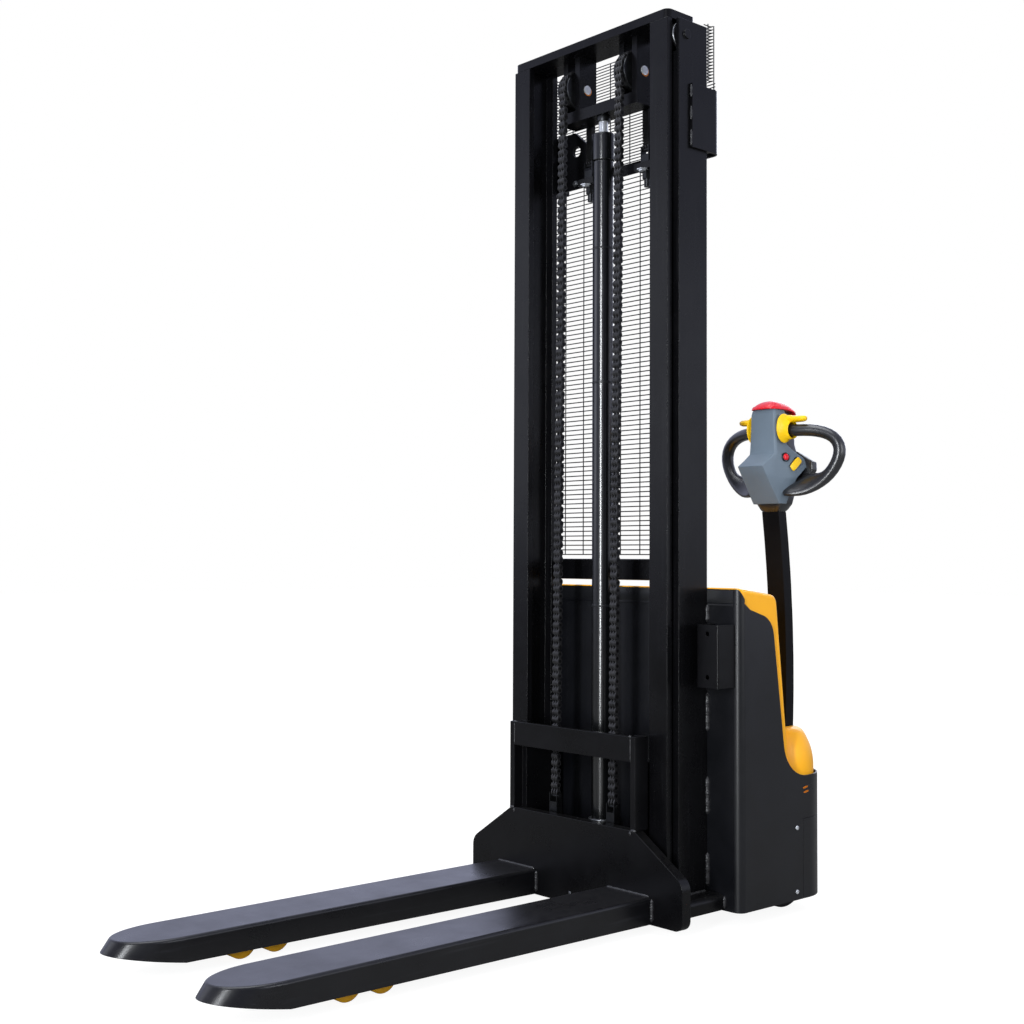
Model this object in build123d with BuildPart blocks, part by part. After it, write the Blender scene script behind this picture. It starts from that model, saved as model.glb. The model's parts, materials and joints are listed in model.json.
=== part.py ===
"""Fork-over electric stacker with a two-stage mast, built piece by piece.

The forks point along -Y, +X is the operator's left and Z is up from the floor.
All sizes are in millimetres.
"""

import os

from build123d import *

os.makedirs("parts", exist_ok=True)

# Overall
fork_length = 1150.0
body_reach = 564.0
body_width = 810.0
mast_top = 2272.0
slip = 0.05
fork_nose_flare = 22.0
heel = (fork_length + fork_nose_flare - body_reach) / 2
body_rear = heel + body_reach

# Forks
fork_spread = 570.0
fork_blade = 160.0
fork_top = 89.0
fork_wall = 6.0
fork_roof = 8.0
fork_heel_height = 65.0
fork_rise = 9.0
fork_edge = 8.0
fork_nose = 135.0
fork_nose_low = 62.0
fork_x = (fork_spread - fork_blade) / 2
fork_low = fork_top - fork_heel_height

# Support legs with their tandem rollers
leg_gap = 6.0
leg_low = 32.0
leg_wall = 6.0
leg_height = fork_top - fork_roof - 4.0 - leg_low
leg_width = fork_blade - 2 * fork_wall - 2 * leg_gap
leg_setback = 140.0
leg_tip = fork_length - leg_setback
load_diameter = 74.0
load_width = 60.0
load_spacing = 90.0
load_axle = 16.0
bogie_setback = 346.0
bogie_reach = fork_length - bogie_setback
bogie_plate = 6.0
bogie_gap = 2.0
bogie_height = 34.0
bogie_pin = 20.0
bogie_z = load_diameter / 2 + 6.0
bogie_y = heel - bogie_reach
bogie_half = load_width / 2 + bogie_gap + bogie_plate
slot_half = bogie_half + bogie_gap
slot_length = load_spacing + load_diameter + 34.0

# Carriage
plate_thickness = 30.0
plate_width = 766.0
plate_low = 22.0
plate_shoulder = 135.0
plate_high = 238.0
plate_top_width = 452.0
bar_thickness = 17.0
bar_depth = 46.0
frame_half = 230.0
frame_top = 466.0
crossbar_height = 62.0
crossbar_depth = 16.0
cheek_thickness = 16.0
cheek_low = 96.0
cheek_high = 398.0
anchor_bar_height = 25.0
anchor_drop = 15.0
carriage_clevis = 62.0
plate_back = heel + plate_thickness
anchor_top = plate_high - anchor_drop
bar_inside = frame_half - bar_thickness
cheek_inside = bar_inside - cheek_thickness

# Mast rails
rail_depth = 106.0
rail_flange = 18.0
rail_web = 10.0
mast_half = 300.0
carriage_room = 56.0
mast_step = 25.0
inner_flange = 60.0
nest_gap = 6.0
outer_flange = 38.0
head_plate = 22.0
base_low = 43.0
base_height = 37.0
base_corner = 14.0
inner_clear = 15.0
rail_top = mast_top - head_plate
base_top = base_low + base_height
inner_front = heel + carriage_room
inner_rear = inner_front + rail_depth
outer_front = inner_front + mast_step
outer_rear = outer_front + rail_depth
inner_out = mast_half - rail_web - nest_gap
inner_in = inner_out - inner_flange
web_out = (inner_out + inner_in + rail_web) / 2
web_in = web_out - rail_web
inner_low = base_top + inner_clear

# Mast rollers
roller_play = 0.3
roller_width = 22.0
stub_diameter = 30.0
roller_diameter = rail_depth - 2 * rail_flange - 2 * roller_play
roller_side_gap = 4.0
inner_lane = inner_front + rail_depth / 2
outer_lane = outer_front + rail_depth / 2
roller_notch = 45.0
top_roller_z = rail_top - 37.0
foot_roller_z = inner_low + 55.0
low_roller_z = cheek_low + 46.0
high_roller_z = cheek_high - 44.0
top_roller_x = mast_half - rail_web - roller_side_gap - roller_width / 2
foot_roller_x = web_out + roller_side_gap + roller_width / 2
carriage_roller_x = web_in - roller_side_gap - roller_width / 2

# Chains and pulleys
chain_x = 105.0
chain_width = 22.0
chain_depth = 15.0
pulley_radius = 52.0
pulley_width = 40.0
pulley_flange = 5.0
pulley_pin = 24.0
pulley_z = 2165.0
chain_foot = heel + 51.0
chain_front = heel + 71.0
pulley_y = chain_front + pulley_radius
chain_rear = pulley_y + pulley_radius
bracket_thickness = 17.5
bracket_front = pulley_y - 28.0
bracket_back_front = pulley_y - 15.0
bracket_rear = pulley_y + 35.0
bracket_side_gap = 0.5
bracket_offset = pulley_width / 2 + bracket_side_gap
bracket_reach_x = bracket_offset + bracket_thickness
pin_stand = 2.0
beam_low = 2077.0
beam_height = 30.0
foot_tie_low = inner_low + 5.0
foot_tie_height = 90.0
clevis_width = 28.0
clevis_depth = 20.0
clevis_height = 46.0
stud_diameter = 16.0

# Upper tie of the outer mast with its lugs and ledges
tie_thickness = 10.0
tie_low = 1930.0
tie_high = 1958.0
lug_in = 123.0
lug_out = mast_half - outer_flange / 2
lug_high = 2087.0
lug_cut = 56.0
lug_fall = 49.0
lug_hole = 30.0
lug_hole_x = 173.0
lug_hole_z = 2033.0
ledge_width = 60.0
ledge_low = 1922.0
ledge_height = 18.0
ledge_reach = 20.0
nut_height = 23.0
nut_corner = 13.0
stud_reach = 44.0
arm_thickness = 8.0
arm_front = heel + 122.0
arm_rear = heel + 232.0
arm_low = 1930.0
arm_high = 2092.0
arm_flange = 60.0
arm_bend = 24.0
arm_inside_bend = 3.0
middle_low = 846.0
middle_height = 56.0
middle_depth = 12.0
middle_half = mast_half - 17.0

# Wire guards
wire = 3.0
upper_pitch = 8.3
upper_rows = 37
upper_low = 1956.0
return_low = 2109.0
return_depth = 27.0
lower_pitch = 12.7
lower_rows = 80
lower_low = 912.0
guard_columns = 2
guard_half = 284.0
upper_half = 296.0

# Lift cylinder
lift_y = heel + 118.0
tube_diameter = 56.0
tube_wall = 6.0
tube_top = 1955.0
gland_diameter = 60.0
gland_height = 74.0
rod_diameter = 25.0
foot_tie_gap = 2.0
piston_low = 205.0
piston_height = 60.0

# Body sheets
sheet = 4.0
front_radius = 22.0
rear_radius = 100.0
skirt_low = 40.0
seam_z = 243.0
seam_gap = 1.0
seam_reach = 437.0
panel_top = 792.0
panel_knee = 778.0
panel_waist = 752.0
panel_deck = 350.0
front_top = 828.0
corner_reach = 18.0
corner_fall = 24.0
cover_top = 831.0
cover_back_top = 812.0
cover_side_gap = 0.5
cover_wall = 4.0
cover_lip = 60.0
deck_z = 338.0
floor_z = 46.0
floor_plate = 6.0
battery_shelf = 290.0
mount_z = 206.0
bracket_gap = 21.0
bracket_width = 68.0
bracket_depth = 65.0
bracket_low = 588.0
bracket_height = 154.0
bracket_bend = 4.5
bracket_hole = 12.0
bracket_hole_z = 614.0
bracket_pitch = 106.0
mount_plate = 10.0
bulkhead_reach = 366.0
body_front = outer_rear
body_half = body_width / 2
bulkhead_y = heel + bulkhead_reach
seam_y = heel + seam_reach
cover_front = body_front + sheet

# Steered drive unit and tiller, set over the operator's left rear corner
drive_x = body_half - rear_radius - 2.0
drive_y = body_rear - rear_radius
wheel_diameter = 180.0
wheel_width = 50.0
tyre_depth = 14.0
axle_diameter = 24.0
yoke_plate = 10.0
yoke_gap = 3.0
spindle_diameter = 80.0
turn_gap = 0.5
motor_radius = 62.0
motor_top = 345.0
motor_seat = 300.0
dome_radius = 92.0
dome_wall = 3.0
dome_shoulder = 360.0
dome_top = 468.0
pivot_z = 392.0
pivot_y = drive_y + 10.0
pivot_pin = 20.0
arm_width = 54.0
arm_depth = 32.0
arm_wall = 3.0
lug_plate = 8.0
lug_gap = 2.0
collar_z = 1027.0
wheel_z = wheel_diameter / 2
yoke_top = mount_z - turn_gap
flange_low = mount_z + mount_plate + turn_gap
flange_height = 30.0

# Tiller head
head_low = 1046.0
head_waist = 1144.0
head_neck = 1184.0
head_high = 1284.0
head_half = 36.0
head_flare = 62.0
head_split = heel + 478.0
head_rear = heel + 498.0
head_front = heel + 403.0
loop_y = heel + 488.0
loop_tube = 33.0
loop_span = 400.0
loop_top = 1234.0
loop_low = 1110.0
housing_half = 92.0
housing_rear = heel + 515.0
throttle_y = heel + 442.0
throttle_z = 1246.0
throttle_shaft = 16.0
button_play = 0.4
rocker_play = 0.6
rocker_sink = 3.0
rocker_pin = 3.0
rocker_pin_seat = 4.0
cap_gap = 7.0
horn_diameter = 16.0
horn_travel = 2.5
facet_run = head_flare - head_half
facet_rise = head_neck - head_waist
facet_length = (facet_run**2 + facet_rise**2) ** 0.5
facet_out = (facet_rise / facet_length, 0.0, facet_run / facet_length)

# Swivel caster under the operator's right rear corner
caster_diameter = 100.0
caster_width = 36.0
caster_trail = 32.0
caster_fork = 6.0
caster_gap = 2.0
caster_axle = 14.0
caster_crown = 118.0
caster_spindle = 50.0

# The row's origin lies on the floor under the middle of the overall box
left_reach = drive_x + loop_span / 2
right_reach = body_half
centre_x = (left_reach - right_reach) / 2


def put(piece, name):
    """Set a finished piece about the overall centre line, label it and write its file."""
    piece.part = piece.part.moved(Location((-centre_x, 0, 0)))
    piece.part.label = name
    export_step(piece.part, f"parts/{name}.step")


def front_plane(y):
    """The upright plane across the machine at one depth, facing the fork tips."""
    return Plane.XZ.offset(-y)


def block(x, y, z, mode=Mode.ADD):
    """A box between three pairs of limits, in the part being built."""
    centre = ((x[0] + x[1]) / 2, (y[0] + y[1]) / 2, (z[0] + z[1]) / 2)
    with Locations(centre):
        Box(abs(x[1] - x[0]), abs(y[1] - y[0]), abs(z[1] - z[0]), mode=mode)


def shaft(x, y, z, radius, mode=Mode.ADD):
    """A round bar lying along X, in the part being built."""
    with Locations(Location(((x[0] + x[1]) / 2, y, z), (0, 90, 0))):
        Cylinder(radius, abs(x[1] - x[0]), mode=mode)


def post(x, y, z, radius, mode=Mode.ADD):
    """A round bar standing along Z, in the part being built."""
    with Locations((x, y, (z[0] + z[1]) / 2)):
        Cylinder(radius, abs(z[1] - z[0]), mode=mode)


def body_plan(inset, low, high, mode=Mode.ADD):
    """The body's rounded plan, pulled in by an inset, raised between two heights."""
    with BuildSketch(Plane.XY.offset(low)) as plan:
        with Locations((0, (body_front + body_rear) / 2)):
            Rectangle(body_width - 2 * inset, body_rear - body_front - 2 * inset)
        fillet(plan.vertices().group_by(Axis.Y)[0], front_radius - inset)
        fillet(plan.vertices().group_by(Axis.Y)[-1], rear_radius - inset)
    extrude(plan.sketch, amount=high - low, mode=mode)


def lattice(plane, centre, size, columns, rows, bar):
    """A flat wire grille on a plane: one sheet with a grid of openings."""
    width, height = size
    step_x = (width - bar) / columns
    step_y = (height - bar) / rows
    rim = Wire.make_rect(width, height)
    holes = []
    for i in range(columns):
        for j in range(rows):
            x = (i + 0.5 - columns / 2) * step_x
            y = (j + 0.5 - rows / 2) * step_y
            holes.append(Wire.make_rect(step_x - bar, step_y - bar).moved(Location((x, y))))
    face = Face(rim, holes).moved(Location((centre[0], centre[1], 0)))
    extrude(plane.from_local_coords(face), amount=bar, dir=plane.z_dir, clean=False)


def mast_rollers(x, y, z):
    """A pair of rollers on one axis, one at each side of the mast."""
    with BuildPart() as pair:
        for side in (1, -1):
            ends = (side * x - roller_width / 2, side * x + roller_width / 2)
            shaft(ends, y, z, roller_diameter / 2)
        rims = pair.edges().filter_by(GeomType.CIRCLE)
        chamfer(rims, 1.5)
        for side in (1, -1):
            ends = (side * x - roller_width / 2, side * x + roller_width / 2)
            shaft(ends, y, z, stub_diameter / 2 + slip, Mode.SUBTRACT)
    return pair


# Forks: inverted channels with a long rounded nose whose rim flares out to its rising foot
nose_lean = fork_nose_flare / (fork_top - fork_nose_low)


def fork_plan(x, z, inset):
    """A fork's plan at one height, pulled in by an inset: straight sides and a half-oval nose."""
    half = fork_blade / 2 - inset
    shoulder = heel - fork_length + fork_nose
    reach = fork_nose + nose_lean * (fork_top - z) - inset
    with BuildSketch(Plane.XY.offset(z)) as plan:
        with BuildLine():
            Polyline((x - half, shoulder), (x - half, heel), (x + half, heel), (x + half, shoulder))
            EllipticalCenterArc((x, shoulder), half, reach, start_angle=180, arc_size=180)
        make_face()
    return plan.sketch


for hand, side in (("left", 1), ("right", -1)):
    x = side * fork_x
    shoulder = heel - fork_length + fork_nose
    tip = heel - fork_length - fork_nose_flare
    with BuildPart() as fork:
        loft([fork_plan(x, fork_low, 0.0), fork_plan(x, fork_top, 0.0)], ruled=True)
        rim = fork.edges().filter_by(lambda e: e.center().Z > fork_top - 1 and e.center().Y < heel - 1)
        fillet(rim, fork_edge)
        ceiling = fork_top - fork_roof
        loft(
            [fork_plan(x, fork_low, fork_wall), fork_plan(x, ceiling, fork_wall)],
            ruled=True,
            mode=Mode.SUBTRACT,
        )
        with BuildSketch(Plane.YZ.offset(x - fork_blade)):
            with BuildLine():
                Polyline(
                    (heel, fork_low),
                    (shoulder, fork_low + fork_rise),
                    (tip, fork_nose_low),
                    (tip - fork_blade, fork_nose_low),
                    (tip - fork_blade, fork_low - 1),
                    (heel, fork_low - 1),
                    close=True,
                )
            make_face()
        extrude(amount=2 * fork_blade, mode=Mode.SUBTRACT)
    put(fork, f"fork_{hand}")

# Carriage plate, notched where the support legs run through under the forks
with BuildPart() as carriage_plate:
    with BuildSketch(front_plane(plate_back)) as outline:
        with BuildLine():
            Polyline(
                (-plate_width / 2, plate_low),
                (plate_width / 2, plate_low),
                (plate_width / 2, plate_shoulder),
                (plate_top_width / 2, plate_high),
                (-plate_top_width / 2, plate_high),
                (-plate_width / 2, plate_shoulder),
                close=True,
            )
        make_face()
        fillet(outline.vertices().group_by(Axis.Y)[1], 38)
        fillet(outline.vertices().group_by(Axis.Y)[0], 25)
        notch = fork_top - fork_roof - plate_low
        with Locations((fork_x, plate_low + notch / 2), (-fork_x, plate_low + notch / 2)):
            Rectangle(leg_width + 2 * leg_gap, notch, mode=Mode.SUBTRACT)
    extrude(amount=plate_thickness)
put(carriage_plate, "carriage_plate")

# Carriage uprights: front bar, roller cheek and two roller stubs at each side
with BuildPart() as carriage_uprights:
    for side in (1, -1):
        block(
            (side * bar_inside, side * frame_half),
            (heel, heel + bar_depth),
            (plate_high, frame_top),
        )
        block(
            (side * cheek_inside, side * bar_inside),
            (plate_back, inner_lane + 31),
            (cheek_low, cheek_high),
        )
        block(
            (side * cheek_inside, side * bar_inside),
            (plate_back, heel + bar_depth),
            (cheek_high, frame_top),
        )
        reach = side * (carriage_roller_x + roller_width / 2)
        for z in (low_roller_z, high_roller_z):
            shaft((side * bar_inside, reach), inner_lane, z, stub_diameter / 2)
put(carriage_uprights, "carriage_uprights")

# Carriage crossbar at the top and the chain anchor bar behind the plate
with BuildPart() as carriage_cross_members:
    block(
        (-bar_inside, bar_inside),
        (heel, heel + crossbar_depth),
        (frame_top - crossbar_height, frame_top),
    )
    block(
        (-cheek_inside, cheek_inside),
        (plate_back, chain_foot + 24),
        (anchor_top - anchor_bar_height, anchor_top),
    )
put(carriage_cross_members, "carriage_cross_members")

# Chain clevises standing on the anchor bar
clevis_top = anchor_top + carriage_clevis
with BuildPart() as carriage_chain_anchors:
    for side in (1, -1):
        x = side * chain_x
        block(
            (x - clevis_width / 2, x + clevis_width / 2),
            (chain_foot - clevis_depth / 2, chain_foot + clevis_depth / 2),
            (anchor_top, clevis_top),
        )
        block(
            (x - chain_width / 2 - 1, x + chain_width / 2 + 1),
            (chain_foot - clevis_depth, chain_foot + clevis_depth),
            (clevis_top - clevis_height / 2, clevis_top + 1),
            Mode.SUBTRACT,
        )
        ends = (x - clevis_width / 2 - 3, x + clevis_width / 2 + 3)
        shaft(ends, chain_foot, clevis_top - 8, 4.5)
put(carriage_chain_anchors, "carriage_chain_anchors")

# Inner rails: I sections, notched low down for the foot rollers
with BuildPart() as inner_rails:
    with BuildSketch(Plane.XY.offset(inner_low)):
        for side in (1, -1):
            x = side * (inner_in + inner_out) / 2
            with Locations((x, inner_lane)):
                Rectangle(rail_web, rail_depth)
            with Locations((x, inner_front + rail_flange / 2), (x, inner_rear - rail_flange / 2)):
                Rectangle(inner_flange, rail_flange)
    extrude(amount=rail_top - inner_low)
    for side in (1, -1):
        block(
            (side * web_out, side * (inner_out + 1)),
            (inner_rear - rail_flange - 1, inner_rear + 1),
            (foot_roller_z - roller_notch, foot_roller_z + roller_notch),
            Mode.SUBTRACT,
        )
        reach = side * (foot_roller_x + roller_width / 2)
        shaft((side * (web_in + 1), reach), outer_lane, foot_roller_z, stub_diameter / 2)
put(inner_rails, "inner_rails")

# Head of the inner mast: top plate, a yoke of two plates at each pulley, and the beam the rod lifts
with BuildPart() as mast_head:
    block((-inner_out, inner_out), (inner_front, inner_rear), (rail_top, mast_top))
    fillet(mast_head.edges().filter_by(Axis.Z), 16)
    for side in (1, -1):
        x = side * chain_x
        near = (x + bracket_offset, x + bracket_reach_x)
        far = (x - bracket_offset, x - bracket_reach_x)
        block(near, (bracket_front, bracket_rear), (beam_low, rail_top))
        block(far, (bracket_back_front, bracket_rear), (beam_low, rail_top))
    beam_half = chain_x + bracket_reach_x
    block((-beam_half, beam_half), (bracket_front, bracket_rear), (beam_low, beam_low + beam_height))
    shaft((-beam_half - 1, beam_half + 1), pulley_y, pulley_z, pulley_pin / 2, Mode.SUBTRACT)
put(mast_head, "mast_head")

# Tie across the feet of the inner rails, behind the cylinder
with BuildPart() as inner_foot_tie:
    block(
        (-inner_in, inner_in),
        (lift_y + gland_diameter / 2 + foot_tie_gap, inner_rear - foot_tie_gap),
        (foot_tie_low, foot_tie_low + foot_tie_height),
    )
put(inner_foot_tie, "inner_foot_tie")

# Pulley pins, held in both plates of their yokes
with BuildPart() as pulley_pins:
    for side in (1, -1):
        x = side * chain_x
        reach = bracket_reach_x + pin_stand
        shaft((x - reach, x + reach), pulley_y, pulley_z, pulley_pin / 2)
put(pulley_pins, "pulley_pins")

# Chain pulleys with a groove between two flanges
with BuildPart() as chain_pulleys:
    groove_radius = pulley_radius - chain_depth / 2 - roller_play
    for side in (1, -1):
        x = side * chain_x
        half = pulley_width / 2
        shaft((x - half, x + half), pulley_y, pulley_z, groove_radius)
        for end in (1, -1):
            rim = (x + end * half, x + end * (half - pulley_flange))
            shaft(rim, pulley_y, pulley_z, pulley_radius + 3)
        shaft((x - half - 1, x + half + 1), pulley_y, pulley_z, pulley_pin / 2 + slip, Mode.SUBTRACT)
put(chain_pulleys, "chain_pulleys")

# Front chain runs, leaning back from the carriage clevises up to the pulleys
with BuildPart() as chain_front_strands:
    half = chain_depth / 2
    for side in (1, -1):
        with BuildSketch(Plane.YZ.offset(side * chain_x - chain_width / 2)):
            with BuildLine():
                Polyline(
                    (chain_foot - half, clevis_top),
                    (chain_foot + half, clevis_top),
                    (chain_front + half, pulley_z),
                    (chain_front - half, pulley_z),
                    close=True,
                )
            make_face()
        extrude(amount=chain_width)
put(chain_front_strands, "chain_front_strands")

# Rear chain runs, over the pulleys and down to the ledges of the outer mast
ledge_top = ledge_low + ledge_height
with BuildPart() as chain_rear_strands:
    for side in (1, -1):
        x = side * chain_x
        with BuildSketch(Plane.YZ.offset(x - chain_width / 2)):
            with Locations((pulley_y, pulley_z)):
                Circle(pulley_radius + chain_depth / 2)
                Circle(pulley_radius - chain_depth / 2, mode=Mode.SUBTRACT)
            with Locations((pulley_y, pulley_z - pulley_radius)):
                Rectangle(4 * pulley_radius, 2 * pulley_radius, mode=Mode.SUBTRACT)
        extrude(amount=chain_width)
        block(
            (x - chain_width / 2, x + chain_width / 2),
            (chain_rear - chain_depth / 2, chain_rear + chain_depth / 2),
            (ledge_top + clevis_height, pulley_z),
        )
put(chain_rear_strands, "chain_rear_strands")

# Piston rod with its piston, reaching up to the head's lower beam
bore_radius = tube_diameter / 2 - tube_wall
with BuildPart() as piston_rod:
    post(0, lift_y, (piston_low, beam_low), rod_diameter / 2)
    post(0, lift_y, (piston_low, piston_low + piston_height), bore_radius - slip)
    post(0, lift_y, (beam_low - 12, beam_low), rod_diameter / 2 + 4)
put(piston_rod, "piston_rod")

# Outer rails: C sections, open at the top of the front flange for the roller
with BuildPart() as outer_rails:
    with BuildSketch(Plane.XY.offset(base_top)):
        for side in (1, -1):
            with Locations((side * (mast_half - rail_web / 2), outer_lane)):
                Rectangle(rail_web, rail_depth)
            x = side * (mast_half - outer_flange / 2)
            with Locations((x, outer_front + rail_flange / 2), (x, outer_rear - rail_flange / 2)):
                Rectangle(outer_flange, rail_flange)
    extrude(amount=rail_top - base_top)
    for side in (1, -1):
        block(
            (side * (mast_half - rail_web), side * (mast_half - outer_flange - 1)),
            (outer_front - 1, outer_front + rail_flange + 1),
            (top_roller_z - roller_notch, rail_top + 1),
            Mode.SUBTRACT,
        )
        ends = (side * (top_roller_x - roller_width / 2), side * (mast_half - 1))
        shaft(ends, inner_lane, top_roller_z, stub_diameter / 2)
        shaft((side * (mast_half - 1), side * (mast_half + 5)), inner_lane, top_roller_z, 12)
put(outer_rails, "outer_rails")

put(mast_rollers(top_roller_x, inner_lane, top_roller_z), "outer_mast_rollers")
put(mast_rollers(foot_roller_x, outer_lane, foot_roller_z), "inner_mast_rollers")
put(mast_rollers(carriage_roller_x, inner_lane, low_roller_z), "carriage_low_rollers")
put(mast_rollers(carriage_roller_x, inner_lane, high_roller_z), "carriage_high_rollers")

# Upper tie of the outer mast: back plate with lifting lugs, chain ledges, side arms
with BuildPart() as upper_tie:
    tie_back = outer_rear + tie_thickness
    with BuildSketch(front_plane(tie_back)):
        with Locations((0, (tie_low + tie_high) / 2)):
            Rectangle(2 * mast_half, tie_high - tie_low)
        for side in (1, -1):
            with BuildLine():
                Polyline(
                    (side * lug_in, tie_low),
                    (side * lug_out, tie_low),
                    (side * lug_out, lug_high),
                    (side * (lug_in + lug_cut), lug_high),
                    (side * lug_in, lug_high - lug_fall),
                    close=True,
                )
            make_face()
            with Locations((side * lug_hole_x, lug_hole_z)):
                Circle(lug_hole / 2, mode=Mode.SUBTRACT)
    extrude(amount=tie_thickness)
    for side in (1, -1):
        x = side * chain_x
        block(
            (x - ledge_width / 2, x + ledge_width / 2),
            (chain_rear - ledge_reach, outer_rear),
            (ledge_low, ledge_top),
        )
        post(x, chain_rear, (ledge_low - 1, ledge_top + 1), stud_diameter / 2, Mode.SUBTRACT)
        outside = side * (mast_half + arm_thickness)
        block((side * mast_half, outside), (arm_front, arm_rear), (arm_low, arm_high))
        block(
            (outside, outside - side * arm_flange),
            (arm_rear - arm_thickness, arm_rear),
            (arm_low, arm_high),
        )
    bends = upper_tie.edges().filter_by(Axis.Z)
    fillet(bends.filter_by(lambda e: abs(e.center().X) > mast_half and e.center().Y > arm_rear - 1), arm_bend)
    bends = upper_tie.edges().filter_by(Axis.Z)
    inner_y = arm_rear - arm_thickness
    inside = bends.filter_by(
        lambda e: abs(abs(e.center().X) - mast_half) < 0.1 and abs(e.center().Y - inner_y) < 0.1
    )
    fillet(inside, arm_inside_bend)
put(upper_tie, "upper_tie")

# Chain clevises on the ledges, with their studs and nuts below
with BuildPart() as tie_chain_anchors:
    for side in (1, -1):
        x = side * chain_x
        block(
            (x - clevis_width / 2, x + clevis_width / 2),
            (chain_rear - clevis_depth / 2, chain_rear + clevis_depth / 2),
            (ledge_top, ledge_top + clevis_height),
        )
        block(
            (x - chain_width / 2 - 1, x + chain_width / 2 + 1),
            (chain_rear - clevis_depth, chain_rear + clevis_depth),
            (ledge_top + clevis_height / 2, ledge_top + clevis_height + 1),
            Mode.SUBTRACT,
        )
        ends = (x - clevis_width / 2 - 3, x + clevis_width / 2 + 3)
        shaft(ends, chain_rear, ledge_top + clevis_height - 8, 4.5)
        post(x, chain_rear, (ledge_low - stud_reach, ledge_top), stud_diameter / 2)
        with BuildSketch(Plane.XY.offset(ledge_low - nut_height)):
            with Locations((x, chain_rear)):
                RegularPolygon(nut_corner, 6)
        extrude(amount=nut_height)
put(tie_chain_anchors, "tie_chain_anchors")

# Flat bar across the backs of the outer rails, above the body
with BuildPart() as middle_tie:
    block(
        (-middle_half, middle_half),
        (outer_rear, outer_rear + middle_depth),
        (middle_low, middle_low + middle_height),
    )
put(middle_tie, "middle_tie")

# Upper wire guard inside the flanges of the arms, with short returns beside the rails
upper_high = upper_low + upper_rows * upper_pitch
guard_rear = arm_rear - arm_thickness
with BuildPart() as upper_guard:
    centre = (upper_low + upper_high) / 2
    size = (2 * upper_half, upper_high - upper_low)
    lattice(front_plane(guard_rear), (0, centre), size, guard_columns, upper_rows, wire)
    return_rows = round((upper_high - return_low) / upper_pitch)
    return_height = return_rows * upper_pitch + wire
    for side in (1, -1):
        plane = Plane.YZ.offset(side * upper_half - (side + 1) / 2 * wire)
        centre = (guard_rear - return_depth / 2, upper_high - return_height / 2)
        lattice(plane, centre, (return_depth, return_height), 1, return_rows, wire)
put(upper_guard, "upper_guard")

# Lower wire guard on the backs of the outer rails
lower_height = lower_rows * lower_pitch
with BuildPart() as lower_guard:
    centre = (0, lower_low + lower_height / 2)
    size = (2 * guard_half, lower_height)
    lattice(front_plane(outer_rear + wire), centre, size, guard_columns, lower_rows, wire)
put(lower_guard, "lower_guard")

# Lift cylinder tube with a closed foot, and the gland on its top
with BuildPart() as lift_cylinder:
    post(0, lift_y, (base_top, tube_top), tube_diameter / 2)
    post(0, lift_y, (base_top + 20, tube_top + 1), bore_radius, Mode.SUBTRACT)
put(lift_cylinder, "lift_cylinder")
with BuildPart() as cylinder_gland:
    post(0, lift_y, (tube_top, tube_top + gland_height), gland_diameter / 2)
    fillet(cylinder_gland.edges().group_by(Axis.Z)[-1], 4)
    ends = (tube_top - 1, tube_top + gland_height + 1)
    post(0, lift_y, ends, rod_diameter / 2 + slip, Mode.SUBTRACT)
put(cylinder_gland, "cylinder_gland")

# Base frame under the mast
base_half = mast_half + 55
base_front = plate_back + 6
with BuildPart() as base_frame:
    block((-base_half, base_half), (base_front, body_front), (base_low, base_top))
    fillet(base_frame.edges().filter_by(Axis.Z).group_by(Axis.Y)[0], base_corner)
    rim = base_frame.edges().group_by(Axis.Z)[-1]
    fillet(rim.filter_by(lambda e: e.center().Y < body_front - 1), base_corner)
put(base_frame, "base_frame")

# Support legs: box beams with a roller slot near the tip and bogie stubs in it
for hand, side in (("left", 1), ("right", -1)):
    x = side * fork_x
    half = leg_width / 2
    tip = heel - leg_tip
    slot = (bogie_y - slot_length / 2, bogie_y + slot_length / 2)
    with BuildPart() as leg:
        block((x - half, x + half), (tip, base_front), (leg_low, leg_low + leg_height))
        fillet(leg.edges().filter_by(Axis.Z).group_by(Axis.Y)[0], 40)
        block((x - slot_half, x + slot_half), slot, (leg_low - 1, fork_top), Mode.SUBTRACT)
        block(
            (x - half + leg_wall, x + half - leg_wall),
            (slot[1] + 20, base_front - 20),
            (leg_low + leg_wall, leg_low + leg_height - leg_wall),
            Mode.SUBTRACT,
        )
        for end in (1, -1):
            ends = (x + end * (half - 1), x + end * (load_width / 2 + 1.5))
            shaft(ends, bogie_y, bogie_z, bogie_pin / 2)
    put(leg, f"support_leg_{hand}")

# Bogies: two rocker plates joined by the axles of the load rollers
for hand, side in (("left", 1), ("right", -1)):
    x = side * fork_x
    axle_z = load_diameter / 2
    with BuildPart() as bogie:
        for end in (1, -1):
            with BuildSketch(Plane.YZ.offset(x + end * (bogie_half - bogie_plate / 2) - bogie_plate / 2)):
                with Locations((bogie_y, bogie_z - 3)):
                    SlotCenterToCenter(load_spacing, bogie_height)
                with Locations((bogie_y, bogie_z)):
                    Circle(bogie_pin / 2 + slip, mode=Mode.SUBTRACT)
            extrude(amount=bogie_plate)
        for end in (1, -1):
            y = bogie_y + end * load_spacing / 2
            shaft((x - bogie_half, x + bogie_half), y, axle_z, load_axle / 2)
    put(bogie, f"bogie_{hand}")
    for place, end in (("front", -1), ("rear", 1)):
        y = bogie_y + end * load_spacing / 2
        with BuildPart() as load_roller:
            shaft((x - load_width / 2, x + load_width / 2), y, axle_z, load_diameter / 2)
            fillet(load_roller.edges().filter_by(GeomType.CIRCLE), 4)
            ends = (x - load_width, x + load_width)
            shaft(ends, y, axle_z, load_axle / 2 + slip, Mode.SUBTRACT)
        put(load_roller, f"load_roller_{hand}_{place}")

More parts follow.
